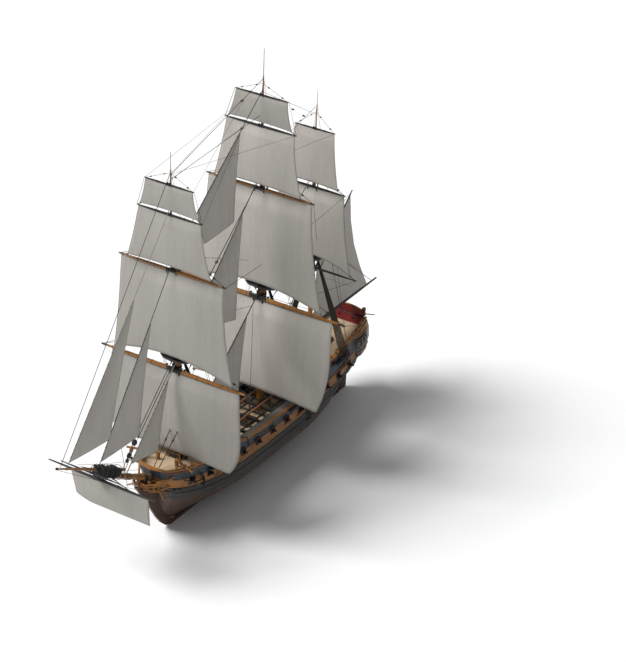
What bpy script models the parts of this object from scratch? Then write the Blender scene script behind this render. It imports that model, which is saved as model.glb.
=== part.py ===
"""A three-masted sailing ship under full sail, as a one to two scale model.

Every size below is in metres of the full-size ship, and SCALE turns it into metres of the part.
+X is the bow, +Y is port, +Z is up, and the origin is on the centreline at the waterline.
"""

import math

import bmesh
import bpy
import numpy as np
from mathutils import Matrix, Vector
from mathutils.bvhtree import BVHTree

SCALE = 0.5
GAP = 0.0006  # between neighbours, in ship metres: 0.3 mm on the part

# Hull
RABBET_Z = -3.95
KEEL_Z = -4.35
PLANK = 0.34  # thickness of the ship's side
MID_FORE = 6.0
MID_AFT = -4.0
GUN_DECK_Z = 1.80
DECK_PLATE = 0.16
FORECASTLE_AFT = 9.6
QUARTERDECK_FORE = -3.4
PORT_X = (18.35, 15.9, 13.0, 10.05, 7.1, 4.15, 1.2, -1.75, -4.7, -7.65, -10.6, -13.55)
PORT_Z = 2.85
PORT_SIDE = 0.78
HIGH_PORT_X = (-6.9, -9.7, -12.5)
HIGH_PORT_SIDE = 0.56

# Masts: the lower mast's axis at the waterline, and its lean for each metre up
FORE_X, FORE_LEAN = 16.20, 0.003
MAIN_X, MAIN_LEAN = -0.02, -0.017
MIZZEN_X, MIZZEN_LEAN = -10.22, -0.041
TOPMAST_AHEAD = 0.62
TOPGALLANT_AHEAD = 1.15

# Yards: height, half length, distance ahead of the lower mast's axis, thickest radius
YARDS = {
    "fore_course_yard": ("fore", 15.45, 10.13, 0.66, 0.24),
    "fore_topsail_yard": ("fore", 27.99, 7.11, 1.06, 0.18),
    "fore_topgallant_yard": ("fore", 34.77, 4.33, 1.40, 0.12),
    "fore_royal_yard": ("fore", 38.26, 3.25, 1.45, 0.10),
    "main_course_yard": ("main", 17.35, 11.80, 0.92, 0.26),
    "main_topsail_yard": ("main", 31.32, 7.31, 1.30, 0.19),
    "main_topgallant_yard": ("main", 38.95, 4.79, 1.50, 0.13),
    "main_royal_yard": ("main", 42.53, 3.61, 1.37, 0.10),
    "crossjack_yard": ("mizzen", 16.77, 6.55, 0.62, 0.15),
    "mizzen_topsail_yard": ("mizzen", 27.26, 4.60, 1.00, 0.13),
    "mizzen_topgallant_yard": ("mizzen", 34.60, 2.83, 1.18, 0.09),
}

# Square sails: yard, half width at the head and at the foot, height of the clews, rise of the foot's middle, belly
SQUARE_SAILS = {
    "fore_course": ("fore_course_yard", 9.25, 7.6, 4.87, 0.55, 0.75),
    "fore_topsail": ("fore_topsail_yard", 6.75, 8.0, 16.10, 1.50, 0.85),
    "fore_topgallant_sail": ("fore_topgallant_yard", 4.05, 5.5, 28.55, 0.35, 0.55),
    "fore_royal": ("fore_royal_yard", 3.05, 3.8, 35.15, 0.20, 0.30),
    "main_course": ("main_course_yard", 10.60, 8.7, 5.15, 0.75, 0.80),
    "main_topsail": ("main_topsail_yard", 6.95, 8.6, 17.95, 1.60, 0.95),
    "main_topgallant_sail": ("main_topgallant_yard", 4.50, 5.8, 31.85, 0.37, 0.60),
    "main_royal": ("main_royal_yard", 3.40, 4.2, 39.30, 0.20, 0.30),
    "mizzen_topsail": ("mizzen_topsail_yard", 4.35, 5.8, 17.35, 1.50, 0.70),
    "mizzen_topgallant_sail": ("mizzen_topgallant_yard", 2.65, 3.75, 27.85, 0.30, 0.40),
}
SAIL_THICK = 0.024

# Bowsprit and jib-boom
BOWSPRIT_IN = (20.30, 0.0, 3.13)
BOWSPRIT_OUT = (31.30, 0.0, 9.32)
JIB_BOOM_IN = (26.20, 0.0, 7.32)
JIB_BOOM_OUT = (37.63, 0.0, 13.46)

COLOURS = {
    "black": (0.012, 0.012, 0.012),
    "ochre": (0.42, 0.20, 0.045),
    "sail": (0.47, 0.44, 0.39),
    "plank": (0.62, 0.47, 0.30),
    "side": (0.055, 0.045, 0.042),
    "keel": (0.045, 0.022, 0.015),
    "red": (0.22, 0.010, 0.010),
    "skin": (0.55, 0.36, 0.27),
    "slate": (0.065, 0.085, 0.11),
    "rope": (0.06, 0.05, 0.04),
}

for old in list(bpy.data.objects):
    bpy.data.objects.remove(old)
for old in list(bpy.data.collections):
    bpy.data.collections.remove(old)

ship = bpy.data.collections.new("tall_ship")
tools = bpy.data.collections.new("cutters")
bpy.context.scene.collection.children.link(ship)
bpy.context.scene.collection.children.link(tools)


def material(name, rough=0.6, metal=0.0):
    found = bpy.data.materials.get(name)
    if found:
        return found
    made = bpy.data.materials.new(name)
    made.use_nodes = True
    shader = made.node_tree.nodes["Principled BSDF"]
    shader.inputs["Base Color"].default_value = (*COLOURS[name], 1.0)
    shader.inputs["Roughness"].default_value = rough
    shader.inputs["Metallic"].default_value = metal
    return made


def add(name, mesh, colour=None, smooth=False, pivot=None):
    """An object of the part, with its origin at the pivot, given in ship metres."""
    made = bpy.data.objects.new(name, mesh)
    if pivot:
        at = SCALE * Vector(pivot)
        mesh.transform(Matrix.Translation(-at))
        made.location = at
    if colour:
        mesh.materials.clear()
        mesh.materials.append(material(colour))
        ship.objects.link(made)
    else:
        tools.objects.link(made)
        made.hide_render = True
        made.display_type = "WIRE"
    mesh.polygons.foreach_set("use_smooth", [smooth] * len(mesh.polygons))
    return made


def mesh_from(name, bm):
    """A bmesh in ship metres as a mesh of the part's size."""
    bmesh.ops.remove_doubles(bm, verts=bm.verts, dist=1e-5)
    bmesh.ops.recalc_face_normals(bm, faces=bm.faces)
    bmesh.ops.scale(bm, vec=(SCALE,) * 3, verts=bm.verts)
    mesh = bpy.data.meshes.new(name)
    bm.to_mesh(mesh)
    bm.free()
    return mesh


def joined(name, first, others, operation="UNION"):
    """The first mesh with the others added to it or cut from it, as one new mesh."""
    body = bpy.data.objects.new(name, first)
    bpy.context.scene.collection.objects.link(body)
    helpers = []
    for i, mesh in enumerate(others):
        helper = bpy.data.objects.new(f"{name}_{i}", mesh)
        bpy.context.scene.collection.objects.link(helper)
        helpers.append(helper)
        step = body.modifiers.new(f"step_{i}", "BOOLEAN")
        step.operation = operation
        step.solver = "EXACT"
        step.object = helper
    bpy.context.view_layer.update()
    done = bpy.data.meshes.new_from_object(
        body.evaluated_get(bpy.context.evaluated_depsgraph_get())
    )
    for helper in helpers:
        bpy.data.objects.remove(helper)
    bpy.data.objects.remove(body)
    bm = bmesh.new()
    bm.from_mesh(done)
    bmesh.ops.remove_doubles(bm, verts=bm.verts, dist=3e-5)
    bmesh.ops.triangulate(bm, faces=bm.faces)
    bmesh.ops.dissolve_degenerate(bm, edges=bm.edges, dist=1e-6)
    bm.to_mesh(done)
    bm.free()
    return done


def tube(name, points, radii, sides=2):
    """A tapered round bar through points, with a radius at each."""
    curve = bpy.data.curves.new(name, "CURVE")
    curve.dimensions = "3D"
    curve.bevel_depth = SCALE
    curve.bevel_resolution = sides
    curve.use_fill_caps = True
    spline = curve.splines.new("POLY")
    spline.points.add(len(points) - 1)
    for point, place, radius in zip(spline.points, points, radii):
        point.co = (*(SCALE * v for v in place), 1.0)
        point.radius = radius
    holder = bpy.data.objects.new(name, curve)
    bpy.context.scene.collection.objects.link(holder)
    bpy.context.view_layer.update()
    mesh = bpy.data.meshes.new_from_object(
        holder.evaluated_get(bpy.context.evaluated_depsgraph_get())
    )
    bpy.data.objects.remove(holder)
    bpy.data.curves.remove(curve)
    bm = bmesh.new()
    bm.from_mesh(mesh)
    bmesh.ops.remove_doubles(bm, verts=bm.verts, dist=1e-6)
    bmesh.ops.recalc_face_normals(bm, faces=bm.faces)
    bm.to_mesh(mesh)
    bm.free()
    return mesh


def box(name, low, high, turn=None):
    bm = bmesh.new()
    bmesh.ops.create_cube(bm, size=1.0)
    size = [b - a for a, b in zip(low, high)]
    centre = [(a + b) / 2 for a, b in zip(low, high)]
    bmesh.ops.scale(bm, vec=size, verts=bm.verts)
    if turn:
        bmesh.ops.rotate(bm, matrix=turn, verts=bm.verts)
    bmesh.ops.translate(bm, vec=centre, verts=bm.verts)
    return mesh_from(name, bm)


def slab(name, outline, half, mid=0.0):
    """An outline in the XZ plane, made into a plate across Y."""
    bm = bmesh.new()
    face = bm.faces.new([bm.verts.new((x, mid - half, z)) for x, z in outline])
    grown = bmesh.ops.extrude_face_region(bm, geom=[face])["geom"]
    moved = [v for v in grown if isinstance(v, bmesh.types.BMVert)]
    bmesh.ops.translate(bm, vec=(0, 2 * half, 0), verts=moved)
    bmesh.ops.triangulate(bm, faces=bm.faces)
    return mesh_from(name, bm)


def plate(name, outline, low, high):
    """An outline in plan, made into a level plate between two heights."""
    bm = bmesh.new()
    face = bm.faces.new([bm.verts.new((x, y, low)) for x, y in outline])
    grown = bmesh.ops.extrude_face_region(bm, geom=[face])["geom"]
    moved = [v for v in grown if isinstance(v, bmesh.types.BMVert)]
    bmesh.ops.translate(bm, vec=(0, 0, high - low), verts=moved)
    bmesh.ops.triangulate(bm, faces=bm.faces)
    return mesh_from(name, bm)


def ball(name, centre, size):
    bm = bmesh.new()
    bmesh.ops.create_uvsphere(bm, u_segments=10, v_segments=7, radius=1.0)
    bmesh.ops.scale(bm, vec=size, verts=bm.verts)
    bmesh.ops.translate(bm, vec=centre, verts=bm.verts)
    return mesh_from(name, bm)


# Hull form
STEM = [(-3.95, 17.2), (-3.4, 18.3), (-2.6, 19.1), (-1.4, 19.85), (0.0, 20.35), (1.5, 20.75), (3.0, 21.15), (5.2, 21.75)]
STERN = [(-3.95, -17.3), (0.0, -17.6), (2.1, -17.85), (3.1, -18.7), (4.4, -19.15), (7.4, -19.75)]
STERN_HALF = [(-3.95, 0.14), (0.6, 0.16), (1.3, 0.85), (2.1, 2.55), (3.1, 3.05), (4.4, 3.0), (7.4, 2.55)]
WIDEST = [(-3.95, 0.16), (-3.4, 1.45), (-2.6, 2.75), (-1.4, 4.02), (-0.4, 4.60), (0.6, 4.86), (1.2, 4.90),
          (2.4, 4.72), (3.4, 4.50), (4.4, 4.30), (7.4, 3.90)]
RAIL = [(-19.9, 6.55), (-16.0, 6.05), (-10.0, 5.55), (-5.2, 5.35), (-3.8, 3.95), (-3.0, 3.78), (9.0, 3.78),
        (10.4, 4.42), (14.0, 4.50), (19.0, 4.75), (22.0, 4.95)]
BOW_LEVELS = [(-3.95, 2.0, 1.15), (-2.6, 2.0, 0.88), (-1.0, 2.3, 0.70), (0.5, 2.8, 0.56), (2.0, 3.4, 0.48), (4.4, 4.2, 0.43)]
RUN_LEVELS = [(-3.95, 1.6, 1.7), (-2.0, 1.7, 1.25), (0.0, 2.0, 0.80), (2.0, 2.2, 0.65), (4.4, 2.0, 0.80)]


def along(pairs, x):
    return float(np.interp(x, [p[0] for p in pairs], [p[1] for p in pairs]))


def shape_at(levels, z):
    zs = [v[0] for v in levels]
    return (float(np.interp(z, zs, [v[1] for v in levels])), float(np.interp(z, zs, [v[2] for v in levels])))


def half_breadth(x, z):
    """Half the hull's breadth over the planking."""
    wide = along(WIDEST, z)
    if x > MID_FORE:
        a, b = shape_at(BOW_LEVELS, z)
        t = min(1.0, max(0.0, (along(STEM, z) - x) / (along(STEM, z) - MID_FORE)))
        return wide * (1 - (1 - t) ** a) ** b
    if x < MID_AFT:
        a, b = shape_at(RUN_LEVELS, z)
        end = min(wide, along(STERN_HALF, z))
        t = min(1.0, max(0.0, (x - along(STERN, z)) / (MID_AFT - along(STERN, z))))
        return end + (wide - end) * (1 - (1 - t) ** a) ** b
    return wide


def mast_x(foot, lean, z):
    return foot + lean * z


def gun_deck_at(x):
    return GUN_DECK_Z + 0.0011 * (x - 1.0) ** 2


STATIONS = [0.0, 0.05, 0.10, 0.16, 0.23, 0.29, 0.345, 0.38, 0.40, 0.46, 0.53, 0.61, 0.70, 0.735, 0.79, 0.835, 0.875, 0.91, 0.94,
            0.963, 0.982, 0.994, 1.0]
OUTER_LEVELS = [-3.95, -3.4, -2.6, -1.4, -0.4, 0.6, 1.2, 2.1, 3.1]


def hull_rows(inset, low=None):
    """Rows of points along the port side, from bottom to top, at a distance inside the planking's face."""
    def row(z_of):
        points = []
        for u in STATIONS:
            x = -19 + 40 * u
            for _ in range(4):
                z = z_of(x)
                aft = along(STERN, z) + inset
                fore = along(STEM, z) - 1.4 * inset
                x = aft + u * (fore - aft)
            y = half_breadth(x, z) - inset if u < 1.0 else 0.0
            points.append((x, max(y, 0.03) if u < 1.0 else 0.0, z))
        return points
    return row


def loft(name, rows):
    """The port side's rows and their mirror as one closed skin, with a column down the middle of the stern."""
    bm = bmesh.new()
    for side in (1, -1):
        grid = []
        for row in rows:
            line = [(row[0][0], 0.0, row[0][2])] + list(row)
            grid.append([bm.verts.new((x, side * y, z)) for x, y, z in line])
        for lower, upper in zip(grid, grid[1:]):
            for i in range(len(lower) - 1):
                corners = [lower[i], lower[i + 1], upper[i + 1], upper[i]]
                for three in ((0, 1, 2), (0, 2, 3)):
                    trio = [corners[k] for k in three]
                    apart = len({tuple(round(c, 6) for c in v.co) for v in trio}) == 3
                    if apart and any(abs(v.co.y) > 1e-6 for v in trio):
                        bm.faces.new(trio)
    return mesh_from(name, bm)


def hull_mesh():
    outer = hull_rows(0.0)
    inner = hull_rows(PLANK)
    rows = []
    keel = outer(lambda x: RABBET_Z)
    rows.append([(x, 0.0, z) for x, y, z in keel])
    for level in OUTER_LEVELS[1:]:
        rows.append(outer(lambda x, level=level: level))
    rows.append(outer(lambda x: 0.5 * (3.1 + along(RAIL, x))))
    rows.append(outer(lambda x: along(RAIL, x)))
    rows.append(inner(lambda x: along(RAIL, x)))
    rows.append(inner(lambda x: 0.5 * (3.1 + along(RAIL, x))))
    rows.append(inner(lambda x: 2.8))
    rows.append(inner(gun_deck_at))
    rows.append([(x, 0.0, z) for x, y, z in rows[-1]])
    return loft("hull_form", rows)


def cavity_mesh():
    """The space between the ship's sides, a little smaller all round than the walls that bound it."""
    inner = hull_rows(PLANK)

    def shrunk(row, lift=0.0):
        last = len(row) - 1
        return [(x + GAP if i == 0 else x - (2 * GAP if i == last else 0.0), max(y - GAP, 0.0), z + lift)
                for i, (x, y, z) in enumerate(row)]

    rows = [shrunk(inner(lambda x: along(RAIL, x)))]
    rows.append(shrunk(inner(lambda x: 0.5 * (3.1 + along(RAIL, x)))))
    rows.append(shrunk(inner(lambda x: 2.8)))
    rows.append(shrunk(inner(gun_deck_at), GAP))
    rows.insert(0, [(x, 0.0, z) for x, y, z in rows[0]])
    rows.append([(x, 0.0, z) for x, y, z in rows[-1]])
    return loft("cavity", rows)


def side_at(x, z):
    """Half breadth outside and the unit normal of the side in plan, to port."""
    step = 0.05
    slope = (half_breadth(x + step, z) - half_breadth(x - step, z)) / (2 * step)
    return half_breadth(x, z), Vector((-slope, 1.0, 0.0)).normalized()


def port_cutter(name, x, z, side, size):
    y, out = side_at(x, z)
    turn = Matrix.Rotation(math.atan2(-out.x, out.y) * side, 3, "Z")
    low = (x - size / 2, side * y - 0.9, z - size / 2)
    high = (x + size / 2, side * y + 0.9, z + size / 2)
    return box(name, low, high, turn)


FORECASTLE_LINE = [(x, 3.86 + 0.0028 * max(0.0, x - 10.0) ** 2) for x in np.linspace(FORECASTLE_AFT, 21.3, 9)]
QUARTERDECK_LINE = [(x, 4.12 + 0.0052 * (QUARTERDECK_FORE - x) ** 2) for x in np.linspace(-19.2, QUARTERDECK_FORE, 9)]


def forecastle_at(x):
    return along(FORECASTLE_LINE, x)


def quarterdeck_at(x):
    return along(QUARTERDECK_LINE, x)


def high_port_z(x):
    return quarterdeck_at(x) + 0.66


cuts = []
for n, x in enumerate(PORT_X):
    for side in (1, -1):
        cuts.append(port_cutter(f"port_{n}", x, PORT_Z + 0.0012 * (x - 1) ** 2, side, PORT_SIDE))
for n, x in enumerate(HIGH_PORT_X):
    for side in (1, -1):
        cuts.append(port_cutter(f"high_port_{n}", x, high_port_z(x), side, HIGH_PORT_SIDE))
way = Vector(BOWSPRIT_OUT) - Vector(BOWSPRIT_IN)
way.normalize()
BOWSPRIT_R = 0.34
hole_end = Vector(BOWSPRIT_IN) + way * 3.2
cuts.append(tube("bowsprit_hole", [Vector(BOWSPRIT_IN) - way * 0.05, hole_end], [BOWSPRIT_R + GAP] * 2, 3))
OVAL_Y, OVAL_Z, OVAL_R, OVAL_HIGH = 0.98, 6.04, 0.16, 1.3
ovals = []
for side in (1, -1):
    oval = tube("oval", [(-20.4, side * OVAL_Y, 0.0), (-18.6, side * OVAL_Y, 0.0)], [OVAL_R, OVAL_R], 3)
    oval.transform(Matrix.Translation((0, 0, SCALE * OVAL_Z)) @ Matrix.Diagonal((1, 1, OVAL_HIGH, 1)))
    ovals.append(oval)
hull = joined("hull", hull_mesh(), cuts + ovals, "DIFFERENCE")

CHANNELS = {"fore": (12.9, 16.3, 3.62), "main": (-3.3, 0.6, 3.62), "mizzen": (-13.0, -10.2, 4.75)}


ledges = []
for name, (aft, fore, z) in CHANNELS.items():
    xs = [aft + (fore - aft) * i / 4 for i in range(5)]
    for side in (1, -1):
        outline = [(x, side * (half_breadth(x, z) - 0.17)) for x in xs]
        outline += [(x, side * (half_breadth(x, z) + 0.55)) for x in reversed(xs)]
        ledges.append(plate(f"channel_{name}", outline, z - 0.07, z + 0.07))
main_step_z = gun_deck_at(MAIN_X)
ledges.append(tube("main_step", [(MAIN_X, 0, main_step_z - 0.2), (MAIN_X, 0, main_step_z + 0.10)], [0.59, 0.59], 3))
hull = joined("hull", hull, ledges)
add("hull", hull, "side")

# Keel, stem, knee of the head and sternpost in one outline
LEVELS_UP = [z for z in OUTER_LEVELS if -3.9 < z < 3.05]
outline = [(along(STEM, z) + GAP, z) for z in LEVELS_UP]
outline += [(21.9, 3.05), (23.2, 3.42), (24.1, 4.02), (24.35, 3.95), (23.6, 2.75), (22.85, 1.55), (21.9, 0.21)]
outline += [(21.35, -0.85), (20.6, -2.1), (19.75, -3.25), (19.0, -3.98), (18.0, KEEL_Z)]
outline += [(-17.9, KEEL_Z), (-18.15, 1.6)]
outline += [(along(STERN, z) - GAP, z) for z in reversed(LEVELS_UP) if z < 1.3]
outline += [(-17.3 - GAP, RABBET_Z - GAP), (17.2 + GAP, RABBET_Z - GAP)]
KNEE_HALF = 0.17
RUDDER_AXIS = ((-17.98, 0.0, KEEL_Z), (-18.26, 0.0, 1.75))
HANGING_Z = (-3.8, -2.2, -0.6, 1.0)
PIN_R = 0.035


def rudder_axis_x(z):
    (ax, _, az), (bx, _, bz) = RUDDER_AXIS
    return ax + (bx - ax) * (z - az) / (bz - az)


def rudder_pin(z, low, high, radius):
    return tube("pin", [(rudder_axis_x(z + low), 0, z + low), (rudder_axis_x(z + high), 0, z + high)], [radius] * 2, 4)


eyes = [box("eye", (rudder_axis_x(z) - 0.075, -0.075, z - 0.06), (rudder_axis_x(z) + 0.2, 0.075, z + 0.06))
        for z in HANGING_Z]
keel = joined("keel_and_stem", slab("keel_and_stem", outline, KNEE_HALF), eyes)
holes = [rudder_pin(z, -0.5, 0.5, PIN_R / math.cos(math.pi / 12) + GAP) for z in HANGING_Z]
add("keel_and_stem", joined("keel_and_stem", keel, holes, "DIFFERENCE"), "keel")


def fat_hull():
    """The hull's outside swollen by the gap, to cut from what is fastened against it."""
    outer = hull_rows(-GAP)
    rows = [[(x, 0.0, z) for x, y, z in outer(lambda x: RABBET_Z)]]
    for level in OUTER_LEVELS[1:]:
        rows.append(outer(lambda x, level=level: level))
    rows.append(outer(lambda x: 0.5 * (3.1 + along(RAIL, x))))
    rows.append(outer(lambda x: along(RAIL, x)))
    rows.append([(x, 0.0, z) for x, y, z in rows[-1]])
    return loft("fat_hull", rows)


# Head: platform, rails and boomkins on the knee, with the figurehead at its end
PLATFORM_LINE = [(21.32, 3.05 + GAP), (21.9, 3.05 + GAP), (23.2, 3.42 + GAP), (23.78, 3.807 + GAP)]
platform = slab("platform", PLATFORM_LINE + [(x, z + 0.14) for x, z in reversed(PLATFORM_LINE)], 2.0)
plan = [(21.2, 1.52), (21.6, 1.35), (22.6, 0.80), (23.7, 0.30), (23.7, -0.30), (22.6, -0.80), (21.6, -1.35), (21.2, -1.52)]
platform = joined("platform", platform, [plate("plan", plan, 2.0, 5.0)], "INTERSECT")
head = []
for side in (1, -1):
    main_rail = [(20.3, side * 2.45, 4.25), (21.2, side * 1.85, 3.70), (22.3, side * 1.10, 3.62), (23.3, side * 0.55, 3.95),
                 (23.75, side * 0.32, 4.25)]
    head.append(tube("main_rail", main_rail, [0.13, 0.12, 0.11, 0.10, 0.09], 1))
    low_rail = [(20.3, side * 1.95, 2.75), (21.4, side * 1.30, 2.55), (22.4, side * 0.75, 2.75), (23.35, side * 0.32, 3.30)]
    head.append(tube("low_rail", low_rail, [0.12, 0.11, 0.10, 0.09], 1))
    for top, foot in (((21.2, 1.85, 3.70), (21.1, 1.42, 2.62)), ((22.3, 1.10, 3.62), (22.2, 0.86, 2.72)),
                      ((23.2, 0.58, 3.92), (23.0, 0.48, 3.10))):
        head.append(tube("head_timber", [(top[0], side * top[1], top[2]), (foot[0], side * foot[1], foot[2])], [0.09, 0.07], 1))
    for x, y, low, high in ((21.5, 1.64, 3.20, 3.68), (22.3, 1.10, 3.28, 3.62)):
        head.append(tube("beam", [(x, 0.0, low), (x, side * y, high)], [0.07, 0.07], 0))
    head.append(tube("boomkin", [(21.5, side * 0.75, 3.20), (22.6, side * 2.55, 2.35)], [0.11, 0.08], 1))
head = joined("head_rails", platform, head)
KNEE_TOP = [(21.0, 2.0), (21.9, 3.05), (23.2, 3.42), (24.1, 4.02), (24.35, 3.95), (23.6, 2.75), (22.85, 1.55), (21.9, 0.21)]


def fat_knee():
    lifted = [(x, z + 1.5 * GAP) for x, z in KNEE_TOP]
    return slab("fat_knee", lifted, KNEE_HALF + GAP)


add("head_rails", joined("head_rails", head, [fat_hull(), fat_knee()], "DIFFERENCE"), "ochre")

figure = [tube("robe", [(23.92, 0, 3.94), (24.20, 0, 4.25), (24.45, 0, 4.62), (24.56, 0, 4.90)], [0.20, 0.24, 0.22, 0.09], 3)]
figure.append(ball("head", (24.62, 0, 4.96), (0.15, 0.13, 0.17)))
for side in (1, -1):
    figure.append(tube("arm", [(24.40, side * 0.17, 4.66), (24.42, side * 0.33, 4.38), (24.66, side * 0.12, 4.34)],
                       [0.075, 0.07, 0.055], 1))
add("figurehead", joined("figurehead", joined("figurehead", figure[0], figure[1:]), [fat_knee()], "DIFFERENCE"), "skin")


def deck(name, heights):
    """A planked deck laid between the ship's sides, following a line of heights."""
    line = [(float(x), float(z)) for x, z in heights]
    line += [(x, z - DECK_PLATE) for x, z in reversed(line)]
    plate = slab(name, line, 6.0)
    return joined(name, plate, [cavity_mesh()], "INTERSECT")


STEP_RISE = 0.10


def mast_step(foot, lean, floor_of, radius):
    """The flat ring round a mast's foot, standing on its deck."""
    x = mast_x(foot, lean, floor_of(foot))
    z = floor_of(foot)
    return tube("mast_step", [(x, 0, z - 0.08), (x, 0, z + STEP_RISE)], [radius + 0.14] * 2, 3)


CATHEAD_X = 19.2
CATHEAD_Z = 4.98
fore_deck = deck("forecastle_deck", FORECASTLE_LINE)
pillars = []
for x in (10.0, 12.4):
    for y in (-2.2, 2.2):
        pillars.append(tube("pillar", [(x, y, gun_deck_at(x) + 0.02), (x, y, forecastle_at(x) - 0.05)], [0.11, 0.11], 1))
BELL_X = 12.6
posts = [
    box("bell_post", (BELL_X - 0.12, side * 0.55 - 0.1, forecastle_at(BELL_X) - 0.05),
        (BELL_X + 0.12, side * 0.55 + 0.1, forecastle_at(BELL_X) + 1.0))
    for side in (1, -1)
]
posts.append(box("bell_beam", (BELL_X - 0.22, -0.85, forecastle_at(BELL_X) + 0.9),
                 (BELL_X + 0.22, 0.85, forecastle_at(BELL_X) + 1.08)))
CAPSTAN_X = 11.0
CAPSTAN_Z = forecastle_at(CAPSTAN_X) + 0.06
posts.append(tube("capstan_step", [(CAPSTAN_X, 0, CAPSTAN_Z - 0.16), (CAPSTAN_X, 0, CAPSTAN_Z)], [0.60, 0.60], 3))
posts.append(mast_step(FORE_X, FORE_LEAN, forecastle_at, 0.42))
for side in (1, -1):
    y, out = side_at(CATHEAD_X, 4.6)
    inner_end = Vector((CATHEAD_X - 0.8, side * (y - 1.9), forecastle_at(CATHEAD_X - 0.8) + 0.02))
    posts.append(box("cathead_knee", (inner_end.x - 0.15, inner_end.y - 0.15, inner_end.z - 0.1),
                     (inner_end.x + 0.15, inner_end.y + 0.15, CATHEAD_Z + 0.05)))
    tip = Vector((CATHEAD_X + 0.75, side * (y + 1.35), CATHEAD_Z + 0.35))
    posts.append(tube("cathead", [Vector((inner_end.x, inner_end.y, CATHEAD_Z)), tip], [0.19, 0.16], 0))
fore_deck = joined("forecastle_deck", fore_deck, pillars + posts)
add("forecastle_deck", fore_deck, "plank")

WHEEL_X = -8.6
after_deck = deck("quarterdeck", QUARTERDECK_LINE)
stand = box("wheel_stand", (WHEEL_X - 0.75, -0.22, quarterdeck_at(WHEEL_X) - 0.08),
            (WHEEL_X - 0.30, 0.22, quarterdeck_at(WHEEL_X) + 1.25))
after_deck = joined("quarterdeck", after_deck, [stand, mast_step(MIZZEN_X, MIZZEN_LEAN, quarterdeck_at, 0.31)])
add("quarterdeck", after_deck, "plank")


def rail_mesh():
    """The cap on the ship's side from the stern round the bow, bearing on the side's own top face."""
    outer = hull_rows(0.0)(lambda x: along(RAIL, x))
    inner = hull_rows(PLANK)(lambda x: along(RAIL, x))

    def shifted(row, out, lift):
        last = len(row) - 1
        return [(x + (1.4 * out if i == last else 0.0), y + (0.0 if i == last else out), z + lift)
                for i, (x, y, z) in enumerate(row)]

    rows = [shifted(outer, 0.07, GAP), shifted(outer, 0.0, GAP), shifted(inner, 0.0, GAP), shifted(inner, -0.05, GAP),
            shifted(inner, -0.05, 0.13), shifted(outer, 0.07, 0.13)]
    bm = bmesh.new()
    for side in (1, -1):
        grid = [[bm.verts.new((x, side * y, z)) for x, y, z in row] for row in rows]
        for lower, upper in zip(grid, grid[1:] + grid[:1]):
            for i in range(len(lower) - 1):
                bm.faces.new([lower[i], lower[i + 1], upper[i + 1]])
                bm.faces.new([lower[i], upper[i + 1], upper[i]])
        bm.faces.new([line[0] for line in grid])
    return mesh_from("rails", bm)


add("rails", rail_mesh(), "ochre")

# Waist: beams over the gun deck, gangways along them and spare spars laid on top
BEAM_X = (-1.2, 1.6, 4.4, 7.2)
beams = []
BEAM_Z = 3.62
for x in BEAM_X:
    reach = half_breadth(x, BEAM_Z) - 0.1
    beams.append(box("beam", (x - 0.14, -reach, BEAM_Z - 0.30), (x + 0.14, reach, BEAM_Z)))
GANGWAY_Y, GANGWAY_HALF = 3.54, 0.42
for side in (1, -1):
    low = (-3.0, side * GANGWAY_Y - GANGWAY_HALF, BEAM_Z - 0.02)
    beams.append(box("gangway", low, (9.2, side * GANGWAY_Y + GANGWAY_HALF, BEAM_Z + 0.10)))
for y, r in ((1.15, 0.15), (-1.15, 0.15)):
    beams.append(tube("spare", [(-2.4, y, BEAM_Z + 0.10), (9.0, y, BEAM_Z + 0.10)], [r, r * 0.8], 1))
waist = joined("waist_beams", joined("waist_beams", beams[0], beams[1:]), [cavity_mesh()], "INTERSECT")
add("waist_beams", waist, "black")


# Guns
def battery(name, xs, z_of, floor, side, reach, size=1.0):
    """Guns on one side, each on its carriage, joined by the plank that they stand on, down to a line of floor."""
    parts = []
    path = []
    for x in xs:
        z = z_of(x)
        y, out = side_at(x, z)
        out = Vector((out.x, out.y * side, 0.0))
        face = Vector((x, side * y, z))
        parts.append(tube("barrel", [face - out * 1.75 * size, face - out * 0.9 * size, face + out * reach],
                          [0.20 * size, 0.18 * size, 0.115 * size], 1))
        bed = face - out * 1.35 * size
        turn = Matrix.Rotation(math.atan2(-out.x, out.y), 3, "Z")
        low = Vector((bed.x - 0.26 * size, bed.y - 0.5 * size, along(floor, x) - 0.1))
        parts.append(box("carriage", low, (bed.x + 0.26 * size, bed.y + 0.5 * size, z - 0.04), turn))
        path.append((bed.x, bed.y, along(floor, x) + 0.03))
    for a, b in zip(path, path[1:]):
        parts.append(tube("plank", [a, b], [0.055, 0.055], 0))
    line = [(x, z + GAP) for x, z in floor]
    bed = slab("bed", line + [(x, z - 0.8) for x, z in reversed(line)], 6.0)
    return joined(name, joined(name, parts[0], parts[1:]), [bed], "DIFFERENCE")


GUN_FLOOR = [(x, z) for x, y, z in hull_rows(PLANK)(gun_deck_at)]


for side, word in ((1, "port"), (-1, "starboard")):
    mesh = battery(f"gun_battery_{word}", PORT_X, lambda x: PORT_Z + 0.0012 * (x - 1) ** 2, GUN_FLOOR, side, 0.62)
    add(f"gun_battery_{word}", mesh, "black")

for side, word in ((1, "port"), (-1, "starboard")):
    mesh = battery(f"quarterdeck_guns_{word}", HIGH_PORT_X, high_port_z, QUARTERDECK_LINE, side, 0.35, 0.62)
    add(f"quarterdeck_guns_{word}", mesh, "black")

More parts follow.
